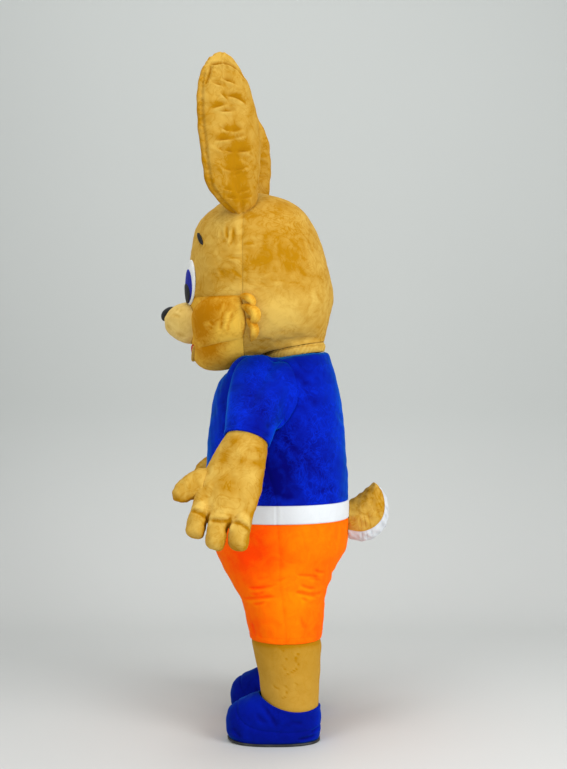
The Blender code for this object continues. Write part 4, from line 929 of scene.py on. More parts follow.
def ear_plain(row, turn, lean):
    """A stuffed ear: a flattened oval at each height, set on a plane turned a little to the front.

    turn runs from its front edge at 0 over its outer face to its back edge at 180 and home over the
    inner face. The oval's half thickness goes as the sine to the power 1.2.
    """
    height = read(EAR["height"], row)
    half_width = read(EAR["half_width"], row)
    sine = np.sin(np.radians(turn))
    across = -np.cos(np.radians(turn))
    out = np.sign(sine) * read(EAR["half_thickness"], row) * np.abs(sine) ** 1.2
    set_back = lean * np.clip((height - 1.87) / 0.07, 0, 1) * np.clip((2.38 - height) / 0.16, 0, 1)
    x = EAR_X - np.sin(EAR_TURN) * half_width * across + np.cos(EAR_TURN) * out
    y = read(EAR["middle_y"], row) + set_back
    y = y + np.cos(EAR_TURN) * half_width * across + np.sin(EAR_TURN) * out
    return np.stack([x, y, height + 0 * out + FLOOR], -1)


def pinches(lines, along, height):
    """Gathered folds of stuffed cloth: cloth that sinks slowly from above, then turns up over a sharp lip."""
    depth = np.zeros(np.broadcast(along, height).shape)
    for a0, h0, a1, h1, deep, wide, bow in zip(*lines.values()):
        part, below = beside_line((a0, h0), (a1, h1), bow, along, height)
        fade = np.clip(np.minimum(part, 1 - part) * 2.2 + 0.05, 0, 1)
        slope = np.exp(-np.abs(below / (wide * 1.9 * (0.3 + 0.7 * fade))) ** 1.3)
        lip = bell(below, 0.55 * wide)
        ridge = bell(below - 1.7 * wide, 1.1 * wide)
        depth += deep * fade * np.where(below < 0, slope, lip) - 0.45 * deep * fade * ridge
    return depth


def grid_normal(points, closed=True):
    """Outward on a grid: the cross product of its differences down and round."""
    padded = np.concatenate([points[:, -1:], points, points[:, :1]], 1) if closed else points
    along = np.gradient(padded, axis=1)
    along = along[:, 1:-1] if closed else along
    return unit(np.cross(np.gradient(points, axis=0), along))


def with_ends(skin, values=()):
    """Rings closed at both ends by a ring drawn in to its middle, and the values of the new points."""
    ends = [np.broadcast_to(skin[k].mean(axis=0), skin[k].shape)[None] for k in (0, -1)]
    skin = np.concatenate([ends[0], skin, ends[1]])
    return skin, *(np.concatenate([value[:1], value, value[-1:]]) for value in values)


def solid_form(name, rings, rows, lift):
    """A closed solid that fills a form, to seat a stuffed piece against."""
    row, turn = all_round(rows, 120)
    (skin,) = with_ends(ring_point(rings, row, turn) + ring_normal(rings, row, turn) * lift)
    return cloth(name, skin, None, TAN, closed=True)


def seated(piece, form, crossed=False):
    """The piece without what would lie inside the form; crossed is for one that folds over itself."""
    modifier = piece.modifiers.new("seat", "BOOLEAN")
    modifier.operation = "DIFFERENCE"
    modifier.object = form
    modifier.use_self = crossed
    graph = bpy.context.evaluated_depsgraph_get()
    mesh = bpy.data.meshes.new_from_object(piece.evaluated_get(graph), depsgraph=graph)
    piece.modifiers.clear()
    piece.data = mesh


head_form = solid_form("head_form", HEAD, np.linspace(0.05, 11, 60), -0.0004)
row, turn = all_round(np.concatenate([np.linspace(0, 1, 12)[:-1], np.linspace(1, 11, 210)]), 108)
sine, across = np.sin(np.radians(turn)), -np.cos(np.radians(turn))
face = np.abs(sine) ** 0.8
outer_face, inner_face = np.clip(sine * 3, 0, 1), np.clip(-sine * 3, 0, 1)
width = read(EAR["half_width"], row)
centre = bell(across * width, 0.006) * EAR_MIDDLE_SEAM
centre = centre + 0.16 * bell(across, 0.18) * read(EAR["half_thickness"], row)
edge = (turn - EAR_FRONT_SEAM + 180) % 360 - 180
arc = np.radians(1) * np.maximum(width, 0.02) * 0.75
back_seam = EAR_BACK_SEAM * bell((turn - 180) * arc, 0.006)
for name, side, lean in (("left", 1, 0.0), ("right", -1, FAR_EAR_LEAN)):
    plain = ear_plain(row, turn, lean)
    out = grid_normal(plain)
    along, height = plain[..., 1] - lean, plain[..., 2] - FLOOR
    inner_place = along + EAR_INNER_SHIFT[0], height + EAR_INNER_SHIFT[1]
    trough = pinches(EAR_FOLDS, along, height) * outer_face * face
    trough += pinches(EAR_FOLDS, *inner_place) * inner_face * face
    tip = folds(EAR_TIP_SEAM, along, height) * np.clip(sine * 4, 0, 1)
    below_tip = np.clip((2.40 - height) / 0.03, 0, 1)
    groove = EAR_GROOVE * bell(edge * arc, np.where(edge < 0, 0.013, 0.0055)) * below_tip
    waves = np.sin(height * 2 * np.pi / 0.023 + 3 * np.sin(height * 31))
    gather = 0.0016 * waves * bell(edge * arc + 0.012, 0.014)
    lift = swells(plain, 0.11, 0.0016) + gather - trough - tip - centre * face - groove - back_seam
    # Painted shade in the pinches, the tip seam, the front groove and the middle seam, lighter on the ridges.
    crease = np.clip(trough / 0.010, -0.5, 1.0) + np.clip((tip + 0.1 * groove) / 0.008, 0, 1)
    crease = crease + 0.15 * centre / 0.008
    # Darker overall, lighter towards the top and darker below 2.1 m, and painted shade along the front edge
    # beside the groove.
    nap = 0.12 * np.clip((height - 2.1) / 0.2, -1, 1) - 0.15 - 0.25 * bell(edge + 30, 30)
    nap = nap + nap_and_painted_light(EAR_SPOTS, along, height) * outer_face
    nap = nap + nap_and_painted_light(EAR_SPOTS, *inner_place) * inner_face
    skin, crease, nap = with_ends(plain + out * (lift + 0.002)[..., None], (crease, nap))
    piece = cloth(f"ear_{name}", skin, None, TAN, closed=True, side=side, crease=crease, nap=nap)
    seated(piece, head_form)
    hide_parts(f"ear_outer_{name}", f"ear_inner_{name}")
    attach(piece, "root")
bpy.data.objects.remove(head_form, do_unlink=True)

# Neck band
# A doubled strip of tan plush folded round the bottom of the head, caught in slanting puckers. It
# hangs from the head and lies on the neck of the shirt.
BAND = table(
    "front_y front_h back_y back_h half_width side_h",
    (-0.0750, 1.3961, 0.1530, 1.4368, 0.1165, 1.4162),
    (-0.0780, 1.3850, 0.1570, 1.4230, 0.1198, 1.4040),
    (-0.0750, 1.3655, 0.1560, 1.3995, 0.1180, 1.3830),
)
BAND_WALL = 0.008
BAND_PUCKERS = 46
row, turn = all_round(np.linspace(0, 2, 16), 240)
plain, out = ring_point(BAND, row, turn), ring_normal(BAND, row, turn)
slant = turn / 360 * BAND_PUCKERS + row * 0.55 + 0.35 * np.sin(np.radians(turn) * 5)
pucker = np.sin(2 * np.pi * slant) * (0.6 + 0.4 * np.sin(np.radians(turn) * 7 + 1))
roll = -0.0035 * ((row - 1) ** 2) ** 2
fold = 0.0026 * bell(row - 0.55 - 0.25 * np.sin(np.radians(turn) * 3), 0.20)
lift = roll + 0.0008 * pucker - fold
outer, inner = plain + out * lift[..., None], plain - out * BAND_WALL
# Painted shade in the fold, and each pucker painted lighter where it rises and darker where it sinks.
crease = 0.6 * fold / 0.004 - 0.35 * pucker
piece = cloth("neck_band", outer, inner, TAN, closed=True, crease=crease, nap=0.35)
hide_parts("neck_band")
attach(piece, "root")

# Shirt
# Blue velour on a foam lining: a front, two backs that meet in a centre seam with a hidden closing,
# and set-in sleeves. Its neck, waist and cuffs are open.
WALL = 0.006
BODY_SEAM = 0.0022
BODY_CREASE = 0.0030
HEM_ROLL = 0.0030
BLUE = plush(
    "blue_velour", (0.0, 0.0001, 0.15), (0.0, 0.018, 0.54), 0.55, (0.0, 0.36, 0.70),
    patch=1.7, vein=0.10, stroke=0.50, crease_shade=0.3, bump=0.0008, sheen_width=0.36,
)
SHIRT = table(
    "front_y front_h back_y back_h half_width side_h squareness side_turn shoulder",
    (-0.0752, 1.3648, 0.1562, 1.3987, 0.1182, 1.3822, 2.0, 82, 0.000),
    (-0.1250, 1.3480, 0.1710, 1.3910, 0.1620, 1.3720, 2.0, 79, 0.012),
    (-0.1780, 1.3300, 0.1810, 1.3620, 0.1980, 1.3420, 2.0, 77, 0.050),
    (-0.2200, 1.3120, 0.1900, 1.3320, 0.2180, 1.3120, 2.1, 76, 0.052),
    (-0.2460, 1.2780, 0.2030, 1.2800, 0.2330, 1.2700, 2.1, 76, 0.030),
    (-0.2620, 1.2200, 0.2150, 1.2200, 0.2460, 1.2150, 2.2, 76, 0.006),
    (-0.2720, 1.1650, 0.2210, 1.1650, 0.2570, 1.1620, 2.2, 76, 0.000),
    (-0.2800, 1.1050, 0.2270, 1.1050, 0.2670, 1.1030, 2.2, 77, 0.000),
    (-0.2860, 1.0400, 0.2340, 1.0400, 0.2750, 1.0400, 2.2, 80, 0.000),
    (-0.2890, 0.9750, 0.2390, 0.9750, 0.2790, 0.9750, 2.2, 84, 0.000),
    (-0.2890, 0.9100, 0.2420, 0.9100, 0.2800, 0.9100, 2.2, 88, 0.000),
    (-0.2870, 0.8490, 0.2430, 0.8490, 0.2800, 0.8490, 2.2, 90, 0.000),
)
BELT_TOP = 0.849
ARMHOLE = {"row": 4.2, "half_rows": 2.9, "half_turns": 31.0}
ARM_STEPS = 54
SHIRT_FOLDS = table(
    FOLD_COLUMNS,
    (-0.080, 1.372, -0.020, 1.338, 0.0030, 0.010, 0.004),
    (-0.110, 1.352, -0.070, 1.318, 0.0026, 0.009, -0.004),
    (-0.150, 1.330, -0.110, 1.285, 0.0022, 0.010, 0.004),
    (0.040, 1.330, 0.100, 1.270, 0.0022, 0.012, 0.008),
    (0.060, 1.270, 0.120, 1.190, 0.0020, 0.012, -0.008),
    (-0.010, 1.110, 0.060, 1.030, 0.0024, 0.012, 0.006),
    (-0.030, 1.060, 0.020, 0.960, 0.0022, 0.012, -0.006),
    (0.080, 1.020, 0.150, 0.930, 0.0018, 0.014, 0.008),
    (-0.060, 0.900, 0.060, 0.878, 0.0018, 0.009, 0.003),
    (0.100, 0.888, 0.190, 0.905, 0.0020, 0.008, -0.004),
    (-0.180, 0.880, -0.100, 0.900, 0.0020, 0.009, 0.004),
    (-0.200, 1.120, -0.140, 1.040, 0.0024, 0.012, 0.008),
    (-0.225, 1.230, -0.190, 1.150, 0.0020, 0.012, 0.005),
)
FRONT_FOLDS = table(
    FOLD_COLUMNS,
    (-0.120, 1.200, -0.020, 1.150, 0.0022, 0.014, 0.010),
    (0.040, 1.140, 0.150, 1.180, 0.0022, 0.014, -0.010),
    (-0.160, 0.900, -0.040, 0.880, 0.0026, 0.010, 0.004),
    (0.020, 0.890, 0.120, 0.905, 0.0022, 0.010, -0.004),
    (-0.060, 1.020, 0.030, 0.980, 0.0018, 0.014, 0.006),
    (0.070, 1.290, 0.130, 1.240, 0.0020, 0.012, 0.004),
)
# The two tall narrow light ovals at the front and back edges are a painted rim highlight.
SHIRT_SPOTS = table(
    SPOT_COLUMNS,
    (-0.050, 1.020, 0.060, 0.120, -0.30),
    (-0.020, 0.930, 0.080, 0.070, -0.22),
    (0.060, 1.000, 0.070, 0.110, -0.18),
    (-0.020, 1.230, 0.080, 0.070, -0.18),
    (0.120, 1.280, 0.060, 0.070, 0.10),
    (0.200, 1.100, 0.030, 0.220, 0.18),
    (-0.250, 1.100, 0.030, 0.220, 0.25),
    (0.060, 1.150, 0.120, 0.200, -0.14),
)


def on_sides(points, side_folds, end_folds):
    """Creases drawn from the side on both sides, and ones drawn from the front on front and back.

    They are shifted a little on the right side and on the back.
    """
    x, y, height = points[..., 0], points[..., 1], points[..., 2] - FLOOR
    beside = np.clip((np.abs(x) - 0.06) / 0.08, 0, 1)
    before = np.clip((0.17 - np.abs(x)) / 0.06, 0, 1)
    left = folds(side_folds, y, height) * (x > 0)
    right = folds(side_folds, y + 0.013, height + 0.017) * (x <= 0)
    ends = folds(end_folds, x * np.where(y < 0, 1, -0.9) + 0.004, height + np.where(y < 0, 0, 0.02))
    return (left + right) * beside + ends * before


def rolled(far, depth):
    """How far cloth turns in over its last 4 mm, as the square of the way to its edge."""
    return depth * np.clip(1 - far / 0.004, 0, 1) ** 2


def body_skin(rings, row, turn, borders, side_folds, end_folds, hems=""):
    """Outer and inner skin of a body panel: seams sunk in, hems rolled, creased and gently uneven."""
    plain, out = ring_point(rings, row, turn), ring_normal(rings, row, turn)
    trough = on_sides(plain, side_folds, end_folds)
    dip = seam(from_border(plain, borders), BODY_SEAM)
    hem = 0.0
    if hems:
        far = from_border(plain, hems)
        hem = rolled(far, HEM_ROLL) + 0.0012 * bell(far - 0.022, 0.0022)
    lift = swells(plain, 0.30, 0.0018) + swells(plain, 0.10, 0.0008) - trough - dip - hem
    # Painted shade in the creases, the seams and the rolled hems, lighter on the ridges.
    crease = np.clip(trough / BODY_CREASE, -0.7, 1) + 0.25 * dip / BODY_SEAM + 0.5 * hem / HEM_ROLL
    return plain + out * lift[..., None], plain - out * WALL, crease


def armhole_half(row):
    """Half the armhole's width in turns at a row: half an ellipse."""
    inside = 1 - ((row - ARMHOLE["row"]) / ARMHOLE["half_rows"]) ** 2
    return ARMHOLE["half_turns"] * np.sqrt(np.maximum(inside, 0))


arm_rows = ARMHOLE["row"] - ARMHOLE["half_rows"] * np.cos(np.pi * np.arange(ARM_STEPS + 1) / ARM_STEPS)
above, below = np.linspace(0, arm_rows[0], 18)[:-1], np.linspace(arm_rows[-1], 11, 54)[1:]
shirt_rows = np.concatenate([above, arm_rows, below])[:, None]
side_turn = read(SHIRT["side_turn"], shirt_rows)


def held(skin, low=-np.inf, high=np.inf, left=False):
    """Points kept between two level seams, and left of the centre seam where that is asked."""
    skin = skin.copy()
    skin[..., 2] = np.clip(skin[..., 2], low + FLOOR + SEAM_GAP, high + FLOOR - SEAM_GAP)
    if left:
        skin[..., 0] = np.maximum(skin[..., 0], SEAM_GAP)
    return skin


turn = np.linspace(-1, 1, 107)[None] * (side_turn - armhole_half(shirt_rows))
row = np.broadcast_to(shirt_rows, turn.shape)
outer, inner, crease = body_skin(SHIRT, row, turn, "first last bottom", SHIRT_FOLDS, FRONT_FOLDS)
nap = nap_and_painted_light(SHIRT_SPOTS, outer[..., 1], outer[..., 2] - FLOOR)
piece = cloth("shirt_front", held(outer, BELT_TOP), held(inner, BELT_TOP), BLUE, crease=crease, nap=nap)
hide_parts("shirt_front")
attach(piece, "root")
for name, side in SIDES:
    start = side_turn + armhole_half(shirt_rows)
    turn = start + (180 - start) * np.linspace(0, 1, 56)[None]
    row = np.broadcast_to(shirt_rows, turn.shape)
    outer, inner, crease = body_skin(SHIRT, row, turn, "first last bottom", SHIRT_FOLDS, FRONT_FOLDS)
    nap = nap_and_painted_light(SHIRT_SPOTS, outer[..., 1], outer[..., 2] - FLOOR)
    both = [held(skin, BELT_TOP, left=True) for skin in (outer, inner)]
    piece = cloth(f"shirt_back_{name}", *both, BLUE, side=side, crease=crease, nap=nap)
    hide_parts(f"shirt_back_{name}")
    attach(piece, "root")

CUFF_CENTRE = np.array([0.365, -0.127, 1.083 + FLOOR])
CUFF_RADIUS = 0.0815
ARMHOLE_SEAM = 0.0018
ARM = unit(np.array([0.442, -0.228, -0.868]))
HAND_OUT = np.array([0.9, 0.05, 0.45])
HAND_OUT = unit(HAND_OUT - ARM * (HAND_OUT @ ARM))
HAND_ACROSS = np.cross(ARM, HAND_OUT)
SLEEVE_WAY = np.array([0.90, -0.30, 0.05])
TURNED_BEHIND = np.array([-0.40, -0.36, -0.10])
TURNED_ABOVE = np.array([0.0, 0.0, -0.14])
SLEEVE_FOLDS = table(
    FOLD_COLUMNS,
    (-0.060, 1.340, -0.020, 1.290, 0.0018, 0.009, 0.004),
    (-0.190, 1.250, -0.150, 1.290, 0.0014, 0.012, 0.004),
    (-0.060, 1.130, -0.010, 1.160, 0.0036, 0.010, 0.003),
    (-0.070, 1.100, -0.015, 1.120, 0.0026, 0.009, 0.003),
    (-0.200, 1.120, -0.160, 1.160, 0.0014, 0.009, 0.003),
)
SLEEVE_SPOTS = table(
    SPOT_COLUMNS,
    (-0.110, 1.240, 0.050, 0.060, -0.30),
    (-0.060, 1.180, 0.050, 0.060, -0.22),
    (-0.170, 1.300, 0.040, 0.022, 0.25),
    (-0.190, 1.230, 0.016, 0.040, 0.30),
    (-0.150, 1.180, 0.030, 0.014, 0.22),
    (-0.215, 1.150, 0.020, 0.070, 0.22),
    (-0.030, 1.110, 0.014, 0.040, 0.20),
    (-0.060, 1.330, 0.050, 0.030, 0.12),
)


def sleeve_point(part, angle, inset):
    """A sleeve: each line is a cubic from its place on the armhole over the shoulder to the round cuff.

    part runs down the arm from 0 to 1, and angle runs round from the armhole's top.
    """
    row = ARMHOLE["row"] - ARMHOLE["half_rows"] * np.cos(angle)
    start = ring_point(SHIRT, row, read(SHIRT["side_turn"], row) + ARMHOLE["half_turns"] * np.sin(angle))
    inwards = unit(start.mean(axis=(0, 1), keepdims=True) - start)
    start = start + inwards * inset
    round_cuff = np.cos(angle)[..., None] * HAND_OUT - np.sin(angle)[..., None] * HAND_ACROSS
    end = CUFF_CENTRE + round_cuff * (CUFF_RADIUS - inset)
    behind = np.clip(np.sin(angle), 0, 1)[..., None]
    above = np.clip(np.cos(angle), 0, 1)[..., None]
    leave = 0.144 * (SLEEVE_WAY + behind * TURNED_BEHIND + above * TURNED_ABOVE) + 0.012 * inwards
    arrive = ARM * 0.16 - round_cuff * 0.015
    s = part[..., None]
    return (
        (2 * s**3 - 3 * s**2 + 1) * start
        + (s**3 - 2 * s**2 + s) * leave
        + (3 * s**2 - 2 * s**3) * end
        + (s**3 - s**2) * arrive
    )


part = np.concatenate([np.linspace(0, 0.9, 46)[:-1], np.linspace(0.9, 1, 16)])[:, None]
angle = (np.pi * np.arange(2 * ARM_STEPS) / ARM_STEPS)[None]
part, angle = np.broadcast_arrays(part, angle)
plain, inner = sleeve_point(part, angle, 0.0), sleeve_point(part, angle, WALL)
out = grid_normal(plain)
trough = folds(SLEEVE_FOLDS, plain[..., 1], plain[..., 2] - FLOOR) * np.clip(0.3 + out[..., 0], 0, 1)
far = from_border(plain, "bottom")
hem = rolled(far, HEM_ROLL) + 0.0010 * bell(far - 0.020, 0.0020)
dip = seam(from_border(plain, "top"), ARMHOLE_SEAM)
lift = swells(plain, 0.20, 0.0010) * np.clip(far / 0.02, 0, 1) - trough - hem - dip
# Painted shade in the creases, the armhole seam and the rolled hem, lighter on the ridges.
crease = np.clip(trough / BODY_CREASE, -0.7, 1) + 0.15 * dip / ARMHOLE_SEAM + 0.4 * hem / HEM_ROLL
nap = nap_and_painted_light(SLEEVE_SPOTS, plain[..., 1], plain[..., 2] - FLOOR)
outer = plain + out * lift[..., None]
for name, side in SIDES:
    piece = cloth(f"sleeve_{name}", outer, inner, BLUE, closed=True, side=side, crease=crease, nap=nap)
    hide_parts(f"sleeve_{name}")
    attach(piece, "root")

# Belt
# A flat band of white short plush between shirt and shorts, doubled over elastic and joined at each
# side. Its edges roll in against the shirt and the shorts.
WHITE = plush(
    "white_plush", (0.43, 0.45, 0.48), (0.745, 0.775, 0.80), 0.06, (1.0, 1.0, 1.0),
    patch=0.5, vein=0.05, crease_shade=0.6, bump=0.0008,
)
BELT_BOTTOM = 0.783
BELT_SEAM = 0.0022
BELT = table(
    "front_y front_h back_y back_h half_width side_h squareness",
    (-0.2890, 0.8490, 0.2450, 0.8490, 0.2820, 0.8490, 2.2),
    (-0.2895, 0.8160, 0.2455, 0.8160, 0.2825, 0.8160, 2.2),
    (-0.2870, 0.7830, 0.2450, 0.7830, 0.2810, 0.7830, 2.2),
)
row, turn = all_round(np.linspace(0, 2, 16), 300)
plain, out = ring_point(BELT, row, turn), ring_normal(BELT, row, turn)
far = np.minimum(row, 2 - row) * (BELT_TOP - BELT_BOTTOM) / 2
side_far = np.abs(np.abs((turn + 180) % 360 - 180) - 90) * 0.0045
ripple = 0.0007 * np.sin(np.radians(turn) * 17 + row) * np.sin(np.radians(turn) * 5)
joint = BELT_SEAM * bell(side_far, 0.0022) - 0.0012 * np.clip(1 - np.abs(side_far - 0.006) / 0.005, 0, 1)
edge = rolled(far, BELT_SEAM)
lift = ripple - joint - edge
outer = held(plain + out * lift[..., None], BELT_BOTTOM, BELT_TOP)
inner = held(plain - out * WALL, BELT_BOTTOM, BELT_TOP)
# Painted shade in the side joints and along the rolled edges.
crease = (0.35 * joint + 0.3 * edge) / BELT_SEAM
piece = cloth("belt", outer, inner, WHITE, closed=True, crease=crease, nap=0.22)
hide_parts("belt_front", "belt_back")
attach(piece, "root")

# Shorts
# Orange plush on foam: a front and a back for each leg, sewn at the sides, the middle and between
# the legs, full at the hips and drawn in to straight legs with a turned hem.
ORANGE = plush(
    "orange_plush", (1.0, 0.055, 0.0), (1.0, 0.225, 0.0), 0.12, (1.0, 0.5, 0.0),
    patch=1.3, vein=0.18, crease_shade=0.34, bump=0.0010,
)
SHORTS = table(
    "front_y front_h back_y back_h half_width side_h squareness centre_x",
    (-0.2845, 0.783, 0.2430, 0.783, 0.2790, 0.783, 2.2, 0.000),
    (-0.2810, 0.740, 0.2420, 0.740, 0.2790, 0.740, 2.2, 0.000),
    (-0.2700, 0.700, 0.2395, 0.700, 0.2690, 0.700, 2.2, 0.009),
    (-0.2530, 0.660, 0.2290, 0.660, 0.2460, 0.660, 2.2, 0.030),
    (-0.2310, 0.620, 0.2020, 0.620, 0.2130, 0.620, 2.1, 0.061),
    (-0.2040, 0.580, 0.1770, 0.580, 0.1790, 0.580, 2.1, 0.096),
    (-0.1780, 0.540, 0.1610, 0.540, 0.1560, 0.540, 2.0, 0.127),
    (-0.1540, 0.500, 0.1510, 0.500, 0.1450, 0.500, 2.0, 0.1452),
    (-0.1420, 0.460, 0.1480, 0.460, 0.1400, 0.460, 2.0, 0.1500),
    (-0.1330, 0.420, 0.1465, 0.420, 0.1370, 0.420, 2.0, 0.1510),
    (-0.1270, 0.390, 0.1440, 0.390, 0.1345, 0.390, 2.0, 0.1510),
    (-0.1225, 0.362, 0.1400, 0.362, 0.1320, 0.362, 2.0, 0.1510),
)
SHORTS_FOLDS = table(
    FOLD_COLUMNS,
    (0.046, 0.606, 0.130, 0.590, 0.0030, 0.0045, -0.003),
    (0.086, 0.590, 0.134, 0.578, 0.0024, 0.0045, -0.003),
    (0.060, 0.572, 0.112, 0.554, 0.0034, 0.0050, 0.003),
    (0.040, 0.548, 0.120, 0.520, 0.0046, 0.0055, -0.005),
    (0.062, 0.526, 0.086, 0.514, 0.0026, 0.0045, 0.000),
    (0.108, 0.622, 0.148, 0.604, 0.0026, 0.0050, 0.002),
    (0.090, 0.540, 0.140, 0.534, 0.0026, 0.0045, 0.003),
    (-0.130, 0.556, -0.030, 0.574, 0.0036, 0.0050, 0.004),
    (-0.120, 0.534, -0.066, 0.550, 0.0030, 0.0050, 0.004),
    (-0.146, 0.510, -0.030, 0.534, 0.0046, 0.0055, -0.004),
    (-0.110, 0.500, -0.062, 0.516, 0.0028, 0.0045, 0.003),
    (-0.030, 0.586, 0.010, 0.600, 0.0018, 0.0045, 0.002),
    (-0.096, 0.590, -0.052, 0.602, 0.0018, 0.0050, 0.002),
    (-0.112, 0.430, -0.102, 0.385, 0.0024, 0.0060, 0.003),
    (-0.084, 0.400, -0.078, 0.376, 0.0016, 0.0050, 0.002),
    (0.060, 0.460, 0.085, 0.415, 0.0016, 0.0070, 0.003),
)
CROTCH_FOLDS = table(
    FOLD_COLUMNS,
    (0.030, 0.600, 0.110, 0.575, 0.0045, 0.010, 0.005),
    (0.050, 0.560, 0.130, 0.545, 0.0045, 0.009, 0.004),
    (-0.130, 0.610, -0.040, 0.590, 0.0045, 0.010, -0.005),
    (-0.140, 0.555, -0.060, 0.545, 0.0042, 0.009, -0.004),
    (0.090, 0.520, 0.150, 0.510, 0.0030, 0.009, 0.002),
    (-0.150, 0.515, -0.090, 0.520, 0.0030, 0.009, 0.002),
)
SHORTS_SPOTS = table(
    SPOT_COLUMNS,
    (-0.095, 0.700, 0.075, 0.090, -0.36),
    (-0.150, 0.650, 0.050, 0.050, -0.18),
    (0.060, 0.740, 0.120, 0.050, 0.18),
    (0.110, 0.680, 0.090, 0.080, 0.10),
    (0.020, 0.520, 0.070, 0.120, 0.26),
    (-0.060, 0.560, 0.030, 0.030, 0.12),
    (-0.120, 0.400, 0.024, 0.050, -0.22),
    (0.120, 0.440, 0.030, 0.090, -0.06),
)


def crotch_turn(row):
    """How far past the front a leg's ring reaches before the centre seam cuts it."""
    reach = np.clip(read(SHORTS["centre_x"], row) / read(SHORTS["half_width"], row), 0, 1)
    return np.degrees(np.arcsin(reach ** (read(SHORTS["squareness"], row) / 2)))


rows = np.linspace(0, 11, 110)[:, None]
past = crotch_turn(rows)
joined = past[:, 0] < 90  # the rows above the legs, where left and right meet on the middle seam
for name, side in SIDES:
    for half, start, end in (("front", -past, 90 + 0 * past), ("back", 90 + 0 * past, 180 + past)):
        turn = start + (end - start) * np.linspace(0, 1, 58)[None]
        row = np.broadcast_to(rows, turn.shape)
        form = SHORTS, row, turn, "first last top", SHORTS_FOLDS, CROTCH_FOLDS
        outer, inner, crease = body_skin(*form, hems="bottom")
        nap = nap_and_painted_light(SHORTS_SPOTS, outer[..., 1], outer[..., 2] - FLOOR)
        both = [held(skin, high=BELT_BOTTOM, left=True) for skin in (outer, inner)]
        for skin in both:
            skin[joined, 0 if half == "front" else -1, 0] = 0.0
        piece = cloth(f"shorts_{half}_{name}", *both, ORANGE, side=side, crease=crease, nap=nap)
        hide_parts(f"shorts_{half}_{name}")
        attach(piece, "root")

# Legs
# Plain tubes of tan plush on foam, tucked up into the hems of the shorts and down into the shoes.
# Each has one seam, down its back.
LEG = table(
    "front_y front_h back_y back_h half_width side_h centre_x",
    (-0.1220, 0.402, 0.1380, 0.402, 0.1285, 0.402, 0.1510),
    (-0.1158, 0.364, 0.1330, 0.364, 0.1250, 0.364, 0.1515),
    (-0.1130, 0.335, 0.1375, 0.335, 0.1210, 0.335, 0.1540),
    (-0.1050, 0.300, 0.1350, 0.300, 0.1140, 0.300, 0.1590),
    (-0.0930, 0.250, 0.1320, 0.250, 0.1060, 0.250, 0.1650),
    (-0.0850, 0.200, 0.1290, 0.200, 0.1000, 0.200, 0.1700),
    (-0.0790, 0.155, 0.1275, 0.155, 0.0955, 0.155, 0.1735),
    (-0.0760, 0.120, 0.1250, 0.120, 0.0920, 0.120, 0.1755),
    (-0.0680, 0.085, 0.1170, 0.085, 0.0840, 0.085, 0.1765),
)
LEG_MIDDLE_X = 0.16
LEG_SEAM = 0.0022
LEG_CREASE = 0.0004
LEG_FOLDS = table(
    FOLD_COLUMNS,
    (0.058, 0.335, 0.042, 0.305, 0.0005, 0.0028, 0.003),
    (0.042, 0.305, 0.052, 0.285, 0.0005, 0.0028, -0.002),
    (0.052, 0.285, 0.026, 0.262, 0.0005, 0.0028, -0.003),
    (0.026, 0.262, 0.006, 0.252, 0.0004, 0.0028, 0.002),
    (0.016, 0.320, 0.004, 0.295, 0.0004, 0.0028, 0.002),
    (-0.004, 0.292, 0.008, 0.270, 0.0004, 0.0028, 0.002),
    (-0.036, 0.222, -0.030, 0.206, 0.0005, 0.0028, 0.003),
    (-0.030, 0.206, -0.014, 0.200, 0.0004, 0.0028, -0.002),
    (0.000, 0.214, 0.018, 0.206, 0.0005, 0.0028, -0.003),
    (0.018, 0.206, 0.012, 0.186, 0.0005, 0.0028, 0.002),
    (0.012, 0.186, -0.006, 0.170, 0.0004, 0.0028, -0.002),
    (0.040, 0.230, 0.052, 0.216, 0.0004, 0.0028, 0.002),
    (-0.010, 0.350, 0.000, 0.338, 0.0004, 0.0028, 0.001),
)
row, turn = all_round(np.linspace(0, 8, 78), 90)
plain, out = ring_point(LEG, row, turn), ring_normal(LEG, row, turn)
x, along, height = plain[..., 0] - LEG_MIDDLE_X, plain[..., 1], plain[..., 2] - FLOOR
trough = folds(LEG_FOLDS, along, height) * np.clip(x / 0.04, 0, 1)
trough += folds(LEG_FOLDS, along + 0.02, height - 0.015) * np.clip(-x / 0.04, 0, 1)
back_seam = LEG_SEAM * bell((turn - 180) * 0.0018, 0.004)
in_sight = np.clip((height - 0.13) / 0.05, 0, 1) * np.clip((0.36 - height) / 0.03, 0, 1)
lift = swells(plain, 0.17, 0.0012) * in_sight - trough - back_seam
# Dark lines along the small creases, painted shade in the back seam, and a painted shadow in a band just
# under the hem of the shorts.
crease = 0.6 * np.clip(trough / LEG_CREASE, -0.2, 1) + 0.4 * back_seam / LEG_SEAM
crease = crease + 0.5 * bell(height - 0.358, 0.012)
# Darker overall, and on the outer side lighter below 0.30 m and darker above it.
nap = -0.20 + 0.08 * np.clip((0.30 - height) / 0.1, -1, 1) * np.clip(x / 0.05, 0, 1)
outer, inner = plain + out * lift[..., None], plain - out * WALL
marks = {"crease": crease, "nap": nap, "calm": 0.72}
for name, side in SIDES:
    piece = cloth(f"leg_{name}", outer, inner, TAN, closed=True, side=side, **marks)
    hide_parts(f"leg_{name}")
    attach(piece, "root")

